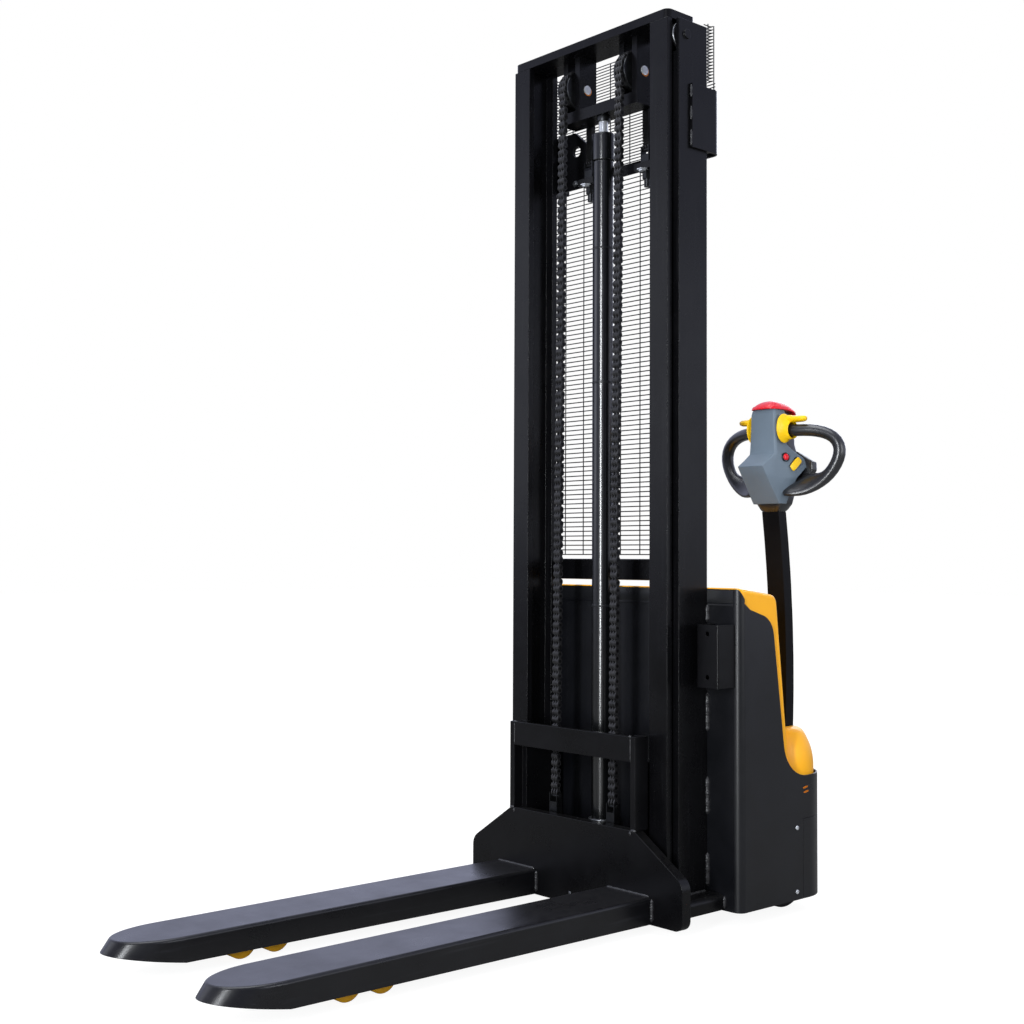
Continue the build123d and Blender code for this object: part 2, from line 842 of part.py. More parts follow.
# Front sheet of the body, wrapped round both corners above the side sheets, where its edge falls away
front_half = body_half - front_radius
corner_y = body_front + corner_reach
with BuildPart() as front_panel:
    body_plan(0, panel_top, front_top)
    body_plan(sheet, panel_top, front_top, Mode.SUBTRACT)
    block((-body_width, body_width), (body_front, corner_y), (panel_top, front_top), Mode.INTERSECT)
    with BuildSketch(Plane.YZ.offset(-body_width)):
        with BuildLine():
            Polyline(
                (body_front + sheet, front_top),
                (corner_y, front_top - corner_fall),
                (corner_y + 1, front_top + 1),
                (body_front + sheet, front_top + 1),
                close=True,
            )
        make_face()
    extrude(amount=2 * body_width, mode=Mode.SUBTRACT)
    block((-front_half, front_half), (body_front, body_front + sheet), (skirt_low, front_top))
put(front_panel, "front_panel")

# Side sheets, each wrapping round its rear corner above the skirt
for hand, side in (("left", 1), ("right", -1)):
    with BuildPart() as side_panel:
        body_plan(0, skirt_low, panel_top)
        body_plan(sheet, skirt_low, panel_top, Mode.SUBTRACT)
        block(
            (side * seam_gap / 2, side * body_width),
            (body_front, body_rear),
            (skirt_low, panel_top),
            Mode.INTERSECT,
        )
        block(
            (0, side * front_half),
            (body_front - 1, body_front + sheet + 1),
            (skirt_low - 1, panel_top + 1),
            Mode.SUBTRACT,
        )
        block(
            (0, side * body_width),
            (seam_y, body_rear + 1),
            (skirt_low - 1, seam_z),
            Mode.SUBTRACT,
        )
        with BuildSketch(Plane.YZ.offset(-body_width)) as profile:
            with BuildLine():
                Polyline(
                    (body_front + 20, panel_top),
                    (body_front + 39, panel_knee),
                    (body_front + 127, panel_waist),
                    (heel + 371, panel_deck),
                    (body_rear + 1, panel_deck + 3),
                    (body_rear + 1, panel_top + 1),
                    (body_front + 20, panel_top + 1),
                    close=True,
                )
            make_face()
            near = profile.vertices().sort_by_distance((heel + 371, panel_deck, 0))
            fillet(near[0], 95)
            near = profile.vertices().sort_by_distance((body_front + 127, panel_waist, 0))
            fillet(near[0], 60)
            near = profile.vertices().sort_by_distance((body_front + 39, panel_knee, 0))
            fillet(near[0], 12)
        extrude(amount=2 * body_width, mode=Mode.SUBTRACT)
    put(side_panel, f"side_panel_{hand}")

# Rear skirt round both rear corners, below the seam
with BuildPart() as rear_skirt:
    body_plan(0, skirt_low, seam_z - seam_gap)
    body_plan(sheet, skirt_low, seam_z - seam_gap, Mode.SUBTRACT)
    block(
        (-body_width, body_width),
        (seam_y + seam_gap, body_rear + 1),
        (skirt_low, seam_z),
        Mode.INTERSECT,
    )
put(rear_skirt, "rear_skirt")

# Chassis frame inside the body: floor, bulkhead, battery shelf and drive mount
with BuildPart() as chassis_frame:
    body_plan(sheet, floor_z, battery_shelf + floor_plate)
    block(
        (-body_width, body_width),
        (body_front, bulkhead_y - floor_plate),
        (floor_z + floor_plate, battery_shelf),
        Mode.SUBTRACT,
    )
    behind = (bulkhead_y, body_rear + 1)
    block((-body_width, body_width), behind, (floor_z - 1, mount_z), Mode.SUBTRACT)
    block(
        (-body_width, body_width),
        behind,
        (mount_z + mount_plate, battery_shelf + floor_plate + 1),
        Mode.SUBTRACT,
    )
    holes = (floor_z, battery_shelf)
    post(drive_x, drive_y, holes, spindle_diameter / 2 + slip, Mode.SUBTRACT)
    post(-drive_x, drive_y, holes, caster_spindle / 2 + slip, Mode.SUBTRACT)
put(chassis_frame, "chassis_frame")

# Deck behind the cover, with a round opening for the turning dome
with BuildPart() as rear_deck:
    body_plan(sheet, deck_z, deck_z + sheet)
    block(
        (-body_width, body_width),
        (body_front - 1, bulkhead_y - 12),
        (deck_z - 1, deck_z + sheet + 1),
        Mode.SUBTRACT,
    )
    post(drive_x, drive_y, (deck_z - 1, deck_z + sheet + 1), dome_radius + 3, Mode.SUBTRACT)
put(rear_deck, "rear_deck")

# Top cover: lid and sloping back in one moulding, with a boss for the stop button
cover_half = body_half - sheet - cover_side_gap
back_foot = heel + 392
back_head = heel + 338
cover_low = deck_z + sheet
slope = Vector(0, back_foot - back_head, cover_low - cover_back_top).normalized()
back_out = Vector(0, -slope.Z, slope.Y)
stop_x = -150.0
stop_share = 0.38
stop_y = back_head + stop_share * (back_foot - back_head)
stop_z = cover_back_top + stop_share * (cover_low - cover_back_top)
stop_plane = Plane(origin=(stop_x, stop_y, stop_z), x_dir=(1, 0, 0), z_dir=back_out)
stop_boss = 8.0
stop_travel = 5.0
stop_stem = 16.0
with BuildPart() as cover_hollow:
    with BuildSketch(Plane.YZ.offset(-cover_half)) as inside:
        with BuildLine():
            Polyline(
                (cover_front - 1, cover_low - 1),
                (cover_front - 1, cover_top - cover_wall),
                (back_head - cover_wall, cover_back_top - cover_wall),
                (back_foot - cover_wall, cover_low - 1),
                close=True,
            )
        make_face()
        near = inside.vertices().sort_by_distance((back_head, cover_back_top, 0))
        fillet(near[0], 24)
    extrude(amount=2 * cover_half)
    body_plan(sheet + cover_side_gap + cover_wall, cover_low - 2, cover_top, Mode.INTERSECT)
with BuildPart() as top_cover:
    with BuildSketch(Plane.YZ.offset(-cover_half)) as profile:
        with BuildLine():
            Polyline(
                (cover_front, cover_low),
                (cover_front, cover_top),
                (back_head, cover_back_top),
                (back_foot, cover_low),
                close=True,
            )
        make_face()
        near = profile.vertices().sort_by_distance((back_head, cover_back_top, 0))
        fillet(near[0], 26)
    extrude(amount=2 * cover_half)
    ends = top_cover.edges().filter_by(lambda e: abs(abs(e.center().X) - cover_half) < 1)
    rims = ends.filter_by(lambda e: e.center().Z > cover_low + 1 and e.center().Y > cover_front + 1)
    fillet(rims, 10)
    add(cover_hollow.part, mode=Mode.SUBTRACT)
    with BuildSketch(Plane.YZ.offset(-cover_half)):
        with BuildLine():
            Polyline(
                (cover_front - 1, cover_low - 1),
                (cover_front - 1, cover_top - cover_lip),
                (back_head - cover_lip, cover_back_top - cover_lip),
                (back_foot - cover_lip, cover_low - 1),
                close=True,
            )
        make_face()
    extrude(amount=2 * cover_half, mode=Mode.SUBTRACT)
    body_plan(sheet + cover_side_gap, cover_low, cover_top, Mode.INTERSECT)
    post(drive_x, drive_y, (cover_low - 1, dome_top + 5), dome_radius + 5, Mode.SUBTRACT)
    with BuildSketch(stop_plane):
        Circle(stop_stem / 2 + 10)
    extrude(amount=stop_boss)
    with BuildSketch(stop_plane.offset(-2 * cover_wall)):
        Circle(stop_stem / 2 + slip)
    extrude(amount=4 * cover_wall + stop_boss, mode=Mode.SUBTRACT)
put(top_cover, "top_cover")

# Mushroom stop button on the sloping back
with BuildPart() as emergency_stop:
    with BuildSketch(stop_plane.offset(stop_boss + stop_travel + 1)):
        Circle(20)
    extrude(amount=13)
    fillet(emergency_stop.edges().filter_by(GeomType.CIRCLE), 5)
    with BuildSketch(stop_plane.offset(-cover_wall)):
        Circle(stop_stem / 2)
    extrude(amount=stop_boss + stop_travel + cover_wall + 4)
put(emergency_stop, "emergency_stop")

# Sheet bracket on the body's front beside the mast
bracket_x = (mast_half + bracket_gap, mast_half + bracket_gap + bracket_width)
bracket_reach = body_front - bracket_depth
bracket_high = bracket_low + bracket_height
with BuildPart() as accessory_bracket:
    block(bracket_x, (bracket_reach, body_front), (bracket_low, bracket_high))
    fillet(accessory_bracket.edges().filter_by(Axis.Z).group_by(Axis.Y)[0], bracket_bend)
    block(
        (bracket_x[0] + sheet, bracket_x[1] - sheet),
        (bracket_reach + sheet, body_front + 1),
        (bracket_low - 1, bracket_high + 1),
        Mode.SUBTRACT,
    )
    middle_x = (bracket_x[0] + bracket_x[1]) / 2
    with BuildSketch(front_plane(bracket_reach + 2 * sheet)):
        with Locations((middle_x, bracket_hole_z), (middle_x, bracket_hole_z + bracket_pitch)):
            Circle(bracket_hole / 2)
    extrude(amount=4 * sheet, mode=Mode.SUBTRACT)
put(accessory_bracket, "accessory_bracket")

# Battery on its shelf, and the pump, motor and tank on the floor below
battery_low = battery_shelf + floor_plate
with BuildPart() as battery_pack:
    for side in (1, -1):
        block((side * 4, side * 330), (cover_front + 6, heel + 326), (battery_low, 500))
        for x in (60, 274):
            post(side * x, heel + 300, (500, 516), 9)
put(battery_pack, "battery_pack")
with BuildPart() as hydraulic_unit:
    low = floor_z + floor_plate
    block((-260, -30), (cover_front + 20, heel + 340), (low, low + 150))
    block((-30, 30), (cover_front + 40, heel + 320), (low, low + 130))
    shaft((30, 190), (cover_front + heel + 350) / 2, low + 66, 52)
put(hydraulic_unit, "hydraulic_unit")

# Steering yoke that hangs the drive wheel under the mount plate
yoke_half = wheel_width / 2 + yoke_gap + yoke_plate
with BuildPart() as steer_yoke:
    post(drive_x, drive_y, (yoke_top - 14, yoke_top), 62)
    post(drive_x, drive_y, (yoke_top - 1, flange_low + 1), spindle_diameter / 2)
    post(drive_x, drive_y, (flange_low, flange_low + flange_height), 66)
    for side in (1, -1):
        inside = drive_x + side * (yoke_half - yoke_plate)
        outside = drive_x + side * yoke_half
        ends = (drive_y - 42, drive_y + 42)
        block((inside, outside), ends, (wheel_z - 26, yoke_top - 7))
    shaft((drive_x - yoke_half, drive_x + yoke_half), drive_y, wheel_z, axle_diameter / 2)
put(steer_yoke, "steer_yoke")

# Drive wheel: cast hub with a bonded tyre
hub_radius = wheel_diameter / 2 - tyre_depth
wheel_ends = (drive_x - wheel_width / 2, drive_x + wheel_width / 2)
with BuildPart() as drive_hub:
    shaft(wheel_ends, drive_y, wheel_z, hub_radius)
    shaft(wheel_ends, drive_y, wheel_z, axle_diameter / 2 + slip, Mode.SUBTRACT)
put(drive_hub, "drive_hub")
with BuildPart() as drive_tyre:
    shaft(wheel_ends, drive_y, wheel_z, wheel_diameter / 2)
    fillet(drive_tyre.edges().filter_by(GeomType.CIRCLE), 5)
    shaft(wheel_ends, drive_y, wheel_z, hub_radius, Mode.SUBTRACT)
put(drive_tyre, "drive_tyre")

# Drive motor, with the seat for the dome and the lugs the tiller hangs in
motor_low = flange_low + flange_height
lug_inside = arm_width / 2 + lug_gap
with BuildPart() as drive_motor:
    post(drive_x, drive_y, (motor_low, motor_top), motor_radius)
    post(drive_x, drive_y, (motor_seat - 6, motor_seat), motor_radius + 14)
    for side in (1, -1):
        ends = (drive_x + side * lug_inside, drive_x + side * (lug_inside + lug_plate))
        block(ends, (pivot_y - 22, pivot_y + 22), (motor_top - 1, pivot_z + 16))
    ends = (drive_x - 2 * lug_inside, drive_x + 2 * lug_inside)
    shaft(ends, pivot_y, pivot_z, pivot_pin / 2 + slip, Mode.SUBTRACT)
put(drive_motor, "drive_motor")

# Dome over the drive, slotted at the back for the tiller's swing
with BuildPart() as drive_dome:
    axis_plane = Plane.XZ.offset(-drive_y)
    with BuildSketch(axis_plane):
        with BuildLine():
            Polyline(
                (drive_x, dome_top),
                (drive_x, motor_seat),
                (drive_x + dome_radius, motor_seat),
                (drive_x + dome_radius, dome_shoulder),
            )
            Spline(
                (drive_x + dome_radius, dome_shoulder),
                (drive_x + 0.80 * dome_radius, dome_shoulder + 0.76 * (dome_top - dome_shoulder)),
                (drive_x + 0.42 * dome_radius, dome_top),
                tangents=((0, 1), (-1, 0)),
            )
            Line((drive_x + 0.42 * dome_radius, dome_top), (drive_x, dome_top))
        make_face()
    revolve(axis=Axis((drive_x, drive_y, 0), (0, 0, 1)))
    inner_radius = dome_radius - dome_wall
    inner_top = dome_top - dome_wall
    with BuildSketch(axis_plane):
        with BuildLine():
            Polyline(
                (drive_x, inner_top),
                (drive_x, motor_seat + dome_wall),
                (drive_x + inner_radius, motor_seat + dome_wall),
                (drive_x + inner_radius, dome_shoulder),
            )
            Spline(
                (drive_x + inner_radius, dome_shoulder),
                (drive_x + 0.80 * inner_radius, dome_shoulder + 0.76 * (inner_top - dome_shoulder)),
                (drive_x + 0.42 * inner_radius, inner_top),
                tangents=((0, 1), (-1, 0)),
            )
            Line((drive_x + 0.42 * inner_radius, inner_top), (drive_x, inner_top))
        make_face()
    revolve(axis=Axis((drive_x, drive_y, 0), (0, 0, 1)), mode=Mode.SUBTRACT)
    seat = (motor_seat - 1, motor_seat + dome_wall + 1)
    post(drive_x, drive_y, seat, motor_radius + 2, Mode.SUBTRACT)
    block(
        (drive_x - arm_width / 2 - 4, drive_x + arm_width / 2 + 4),
        (drive_y - 16, drive_y + 2 * dome_radius),
        (pivot_z - 10, dome_top + 1),
        Mode.SUBTRACT,
    )
put(drive_dome, "drive_dome")

# Tiller arm: bowed rectangular tube with its pivot pin
arm_foot = pivot_z - 18
arm_middle = (pivot_y + 8, 640)
arm_head = (pivot_y - 23, collar_z)
with BuildPart() as tiller_arm:
    for inset, mode in ((0.0, Mode.ADD), (arm_wall, Mode.SUBTRACT)):
        half = arm_depth / 2 - inset
        with BuildSketch(Plane.YZ.offset(drive_x - arm_width / 2 + inset)):
            with BuildLine():
                ThreePointArc(
                    (pivot_y - half, arm_foot + 10 * inset),
                    (arm_middle[0] - half, arm_middle[1]),
                    (arm_head[0] - half, arm_head[1] - inset),
                )
                Line((arm_head[0] - half, collar_z - inset), (arm_head[0] + half, collar_z - inset))
                ThreePointArc(
                    (arm_head[0] + half, arm_head[1] - inset),
                    (arm_middle[0] + half, arm_middle[1]),
                    (pivot_y + half, arm_foot + 10 * inset),
                )
                Line((pivot_y + half, arm_foot + 10 * inset), (pivot_y - half, arm_foot + 10 * inset))
            make_face()
        extrude(amount=arm_width - 2 * inset, mode=mode)
    ends = (drive_x - lug_inside - lug_plate, drive_x + lug_inside + lug_plate)
    shaft(ends, pivot_y, pivot_z, pivot_pin / 2)
put(tiller_arm, "tiller_arm")

# Facet at the head's left shoulder, which carries the horn and the lift rocker
horn_at = (drive_x + head_half + 0.32 * facet_run, heel + 438, head_neck - 0.32 * facet_rise)
rocker_at = (drive_x + head_half + 0.72 * facet_run, heel + 456, head_neck - 0.72 * facet_rise)
horn_plane = Plane(origin=horn_at, x_dir=(0, 1, 0), z_dir=facet_out)
rocker_plane = Plane(origin=rocker_at, x_dir=(0, 1, 0), z_dir=facet_out)
rocker_length = 28.0
rocker_width = 14.0
pocket = 8.0
rocker_pivot = rocker_plane.offset(-rocker_sink).origin
rocker_axis = Plane(origin=rocker_pivot, x_dir=(1, 0, 0), z_dir=(0, 1, 0))
rocker_reach = rocker_length / 2 + rocker_pin_seat

# Grey front shell of the tiller head
with BuildPart() as head_shell:
    with BuildSketch(front_plane(head_rear)):
        with BuildLine():
            Polyline(
                (drive_x - head_half, head_high),
                (drive_x - head_half, head_neck),
                (drive_x - head_flare, head_waist),
                (drive_x - head_half, head_low),
                (drive_x + head_half, head_low),
                (drive_x + head_flare, head_waist),
                (drive_x + head_half, head_neck),
                (drive_x + head_half, head_high),
                close=True,
            )
        make_face()
    extrude(amount=160)
    with BuildSketch(Plane.YZ.offset(drive_x - 100)):
        with BuildLine():
            Polyline(
                (head_front, head_high),
                (head_front, head_neck),
                (head_front - 23, head_waist),
                (head_front + 15, head_low),
                (head_split, head_low),
                (head_split, head_neck),
                (head_rear, head_neck),
                (head_rear, head_high),
                close=True,
            )
        make_face()
    extrude(amount=200, mode=Mode.INTERSECT)
    column = head_shell.edges().filter_by(Axis.Z)
    fillet(column.filter_by(lambda e: e.center().Z > head_neck), 7)
    ends = (drive_x - 2 * head_half, drive_x + 2 * head_half)
    shaft(ends, throttle_y, throttle_z, throttle_shaft / 2 + slip, Mode.SUBTRACT)
    centre_y = (head_front + head_rear) / 2
    post(drive_x, centre_y, (head_high - 24, head_high + 1), 15 + slip, Mode.SUBTRACT)
    with BuildSketch(horn_plane.offset(-pocket)):
        Circle(horn_diameter / 2 + button_play)
    extrude(amount=2 * pocket, mode=Mode.SUBTRACT)
    with BuildSketch(rocker_plane.offset(-pocket)):
        Rectangle(rocker_length + 2 * rocker_play, rocker_width + 2 * rocker_play)
    extrude(amount=2 * pocket, mode=Mode.SUBTRACT)
    with BuildSketch(rocker_axis):
        Circle(rocker_pin / 2 + slip)
    extrude(amount=rocker_reach + rocker_play, both=True, mode=Mode.SUBTRACT)
put(head_shell, "tiller_head_shell")

# Black back of the head with its collar and the two closed hand loops
with BuildPart() as tiller_handle:
    with BuildSketch(front_plane(housing_rear)) as outline:
        with BuildLine():
            Polyline(
                (drive_x - 44, collar_z),
                (drive_x + 44, collar_z),
                (drive_x + 50, head_low + 18),
                (drive_x + housing_half, loop_low - 22),
                (drive_x + housing_half, loop_low + 22),
                (drive_x + 56, head_neck),
                (drive_x - 56, head_neck),
                (drive_x - housing_half, loop_low + 22),
                (drive_x - housing_half, loop_low - 22),
                (drive_x - 50, head_low + 18),
                close=True,
            )
        make_face()
    extrude(amount=housing_rear - head_split)
    block(
        (drive_x - 42, drive_x + 42),
        (head_front + 22, head_split + 1),
        (collar_z, head_low),
    )
    for side in (1, -1):
        outer = loop_span / 2 - loop_tube / 2
        with BuildLine() as path:
            FilletPolyline(
                (drive_x + side * head_half, loop_y, loop_top),
                (drive_x + side * (outer - 22), loop_y, loop_top),
                (drive_x + side * (outer + 4), loop_y, loop_top - 60),
                (drive_x + side * (outer - 50), loop_y, loop_low),
                (drive_x + side * (housing_half - 3), loop_y, loop_low),
                radius=26,
            )
        with BuildSketch(Plane(path.line @ 0, z_dir=path.line % 0)):
            Circle(loop_tube / 2)
        sweep(path=path.line)
put(tiller_handle, "tiller_handle")

# Butterfly switch: a shaft through the head with a thumb paddle at each side
with BuildPart() as butterfly_switch:
    reach = head_half + 24
    shaft((drive_x - reach, drive_x + reach), throttle_y, throttle_z, throttle_shaft / 2)
    for side in (1, -1):
        inside = drive_x + side * (head_half + turn_gap)
        outside = drive_x + side * reach
        shaft((inside, outside), throttle_y, throttle_z, 24)
        block((inside, outside), (throttle_y - 56, throttle_y), (throttle_z - 7, throttle_z + 8))
        block((inside, outside), (throttle_y, throttle_y + 60), (throttle_z + 18, throttle_z + 31))
        block((inside, outside), (throttle_y - 12, throttle_y + 12), (throttle_z, throttle_z + 31))
put(butterfly_switch, "butterfly_switch")

# Red safety button capping the head
cap_low = head_high + cap_gap
with BuildPart() as safety_button:
    with BuildSketch(Plane.XY.offset(cap_low)):
        with Locations((drive_x, centre_y)):
            RectangleRounded(2 * head_half, head_rear - head_front, 20)
    extrude(amount=28)
    fillet(safety_button.faces().sort_by(Axis.Z)[-1].edges(), 19)
    post(drive_x, centre_y, (head_high - 16, cap_low + 2), 15)
put(safety_button, "safety_button")

# Horn button and lift rocker on the facet
with BuildPart() as horn_button:
    with BuildSketch(horn_plane.offset(-pocket + horn_travel + 1)):
        Circle(horn_diameter / 2)
    extrude(amount=pocket + 2.5)
    fillet(horn_button.edges().sort_by(lambda e: e.center().X)[-1], 1.5)
put(horn_button, "horn_button")
with BuildPart() as lift_rocker:
    with BuildSketch(rocker_plane.offset(-pocket + 3.5)):
        Rectangle(rocker_length, rocker_width)
    extrude(amount=pocket)
    with BuildSketch(rocker_axis):
        Circle(rocker_pin / 2)
    extrude(amount=rocker_reach, both=True)
put(lift_rocker, "lift_rocker")

# Caster: swivel fork and wheel
caster_x = -drive_x
caster_z = caster_diameter / 2
caster_y = drive_y + caster_trail
caster_half = caster_width / 2 + caster_gap + caster_fork
with BuildPart() as caster_yoke:
    post(caster_x, drive_y, (caster_crown, mount_z - turn_gap), 34)
    post(caster_x, drive_y, (mount_z - 2, flange_low + 1), caster_spindle / 2)
    post(caster_x, drive_y, (flange_low, flange_low + 8), caster_spindle / 2 + 9)
    crown = (drive_y - 34, caster_y + 20)
    block((caster_x - caster_half, caster_x + caster_half), crown, (caster_crown, caster_crown + 10))
    for side in (1, -1):
        inside = caster_x + side * (caster_half - caster_fork)
        outside = caster_x + side * caster_half
        block((inside, outside), (caster_y - 16, caster_y + 20), (caster_z - 16, caster_crown))
    shaft((caster_x - caster_half, caster_x + caster_half), caster_y, caster_z, caster_axle / 2)
put(caster_yoke, "caster_yoke")
with BuildPart() as caster_wheel:
    ends = (caster_x - caster_width / 2, caster_x + caster_width / 2)
    shaft(ends, caster_y, caster_z, caster_diameter / 2)
    fillet(caster_wheel.edges().filter_by(GeomType.CIRCLE), 6)
    shaft(ends, caster_y, caster_z, caster_axle / 2 + slip, Mode.SUBTRACT)
put(caster_wheel, "caster_wheel")
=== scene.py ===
"""Looks of a fork-over electric stacker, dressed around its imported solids.

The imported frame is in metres: forks along -Y, +X at the operator's left, Z up from the floor.
Places are written in millimetres: across from the mast's middle, back from the fork heel, up from the floor.
"""

from __future__ import annotations

import json
import logging
import math
from dataclasses import dataclass
from enum import Enum
from typing import Callable, Iterable, Sequence

import bpy
from mathutils import Matrix, Vector

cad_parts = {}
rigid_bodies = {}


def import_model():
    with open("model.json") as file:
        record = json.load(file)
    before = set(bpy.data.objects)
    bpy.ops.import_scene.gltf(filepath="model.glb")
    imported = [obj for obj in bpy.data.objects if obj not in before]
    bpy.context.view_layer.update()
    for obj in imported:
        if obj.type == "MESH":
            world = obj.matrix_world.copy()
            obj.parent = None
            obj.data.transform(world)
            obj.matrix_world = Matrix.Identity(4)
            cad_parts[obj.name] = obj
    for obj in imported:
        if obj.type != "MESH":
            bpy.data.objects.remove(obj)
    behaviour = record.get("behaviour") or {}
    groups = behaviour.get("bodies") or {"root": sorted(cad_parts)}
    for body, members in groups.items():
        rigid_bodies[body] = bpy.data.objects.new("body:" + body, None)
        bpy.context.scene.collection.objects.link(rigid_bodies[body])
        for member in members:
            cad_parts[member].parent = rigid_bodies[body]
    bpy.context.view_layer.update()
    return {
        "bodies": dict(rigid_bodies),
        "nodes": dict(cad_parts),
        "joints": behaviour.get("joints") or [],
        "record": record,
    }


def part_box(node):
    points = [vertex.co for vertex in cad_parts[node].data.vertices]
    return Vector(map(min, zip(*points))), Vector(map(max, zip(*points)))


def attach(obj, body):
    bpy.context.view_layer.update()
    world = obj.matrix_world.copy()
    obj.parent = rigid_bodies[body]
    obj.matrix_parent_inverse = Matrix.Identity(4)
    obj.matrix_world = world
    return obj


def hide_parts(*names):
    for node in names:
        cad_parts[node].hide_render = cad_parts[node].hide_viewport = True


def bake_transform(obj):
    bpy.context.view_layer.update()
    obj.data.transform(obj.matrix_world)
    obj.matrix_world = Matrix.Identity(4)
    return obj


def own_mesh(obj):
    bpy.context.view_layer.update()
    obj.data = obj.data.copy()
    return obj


LOG = logging.getLogger("stacker")
MM = 0.001
ACROSS, BACK, UP = Vector((1, 0, 0)), Vector((0, 1, 0)), Vector((0, 0, 1))
WHITE = (1.0, 1.0, 1.0, 1.0)
Colour = tuple[float, float, float]
Place = tuple[float, float, float]
Pair = tuple[float, float]
Piece = bpy.types.Object
Node = bpy.types.Node
Socket = bpy.types.NodeSocket
Tree = bpy.types.NodeTree


class Side(Enum):
    """The two sides of the machine, as the operator stands behind it."""

    LEFT = 1
    RIGHT = -1


class Way(Enum):
    """Which way a mark runs over a surface, as its stretch along X, Y and Z."""

    UPRIGHT = (1.0, 1.0, 0.03)
    LENGTHWISE = (1.0, 0.03, 1.0)
    ANY = (1.0, 1.0, 1.0)


def paint(red: int, green: int, blue: int) -> Colour:
    """A paint's linear colour from its screen values.

    Args:
        red: Red from 0 to 255.
        green: Green from 0 to 255.
        blue: Blue from 0 to 255.

    Returns:
        The linear colour from 0 to 1.
    """

    def linear(value: int) -> float:
        """One channel without its screen curve."""
        share = value / 255
        return share / 12.92 if share <= 0.04045 else ((share + 0.055) / 1.055) ** 2.4

    return linear(red), linear(green), linear(blue)


def feed(tree: Tree, node: Node, inputs: dict[str | int, object]) -> None:
    """Gives a node's inputs their values or links.

    Args:
        tree: The tree that the node is in.
        node: The node.
        inputs: A value or a feeding socket for each input, by name or number.
    """
    for key, value in inputs.items():
        if isinstance(value, Socket):
            tree.links.new(value, node.inputs[key])
        else:
            node.inputs[key].default_value = value


def add_node(tree: Tree, kind: str, inputs: dict[str | int, object], **settings: object) -> Node:
    """Adds a shader node with its settings, values and links.

    Args:
        tree: The tree that it goes into.
        kind: Its type.
        inputs: A value or a feeding socket for each input, by name or number.
        **settings: Its other settings.

    Returns:
        The new node.
    """
    node = tree.nodes.new(kind)
    for name, value in settings.items():
        setattr(node, name, value)
    feed(tree, node, inputs)
    return node


def calc(tree: Tree, operation: str, first: object, second: object) -> Socket:
    """The result of one operation on two values or sockets."""
    return add_node(tree, "ShaderNodeMath", {0: first, 1: second}, operation=operation).outputs[0]


@dataclass(frozen=True)
class Datum:
    """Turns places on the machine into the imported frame.

    Args:
        mast_x: Where the mast's middle lies along X, in metres.
        heel_y: Where the fork heels lie along Y, in metres.
    """

    mast_x: float
    heel_y: float

    @classmethod
    def from_frame(cls) -> Datum:
        """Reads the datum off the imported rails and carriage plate."""
        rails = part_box("outer_rails")
        return cls((rails[0].x + rails[1].x) / 2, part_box("carriage_plate")[0].y)

    def at(self, x: float, y: float, z: float) -> Vector:
        """A point in metres, from millimetres left of the mast's middle, behind the heel and up."""
        return Vector((self.mast_x + x * MM, self.heel_y + y * MM, z * MM))


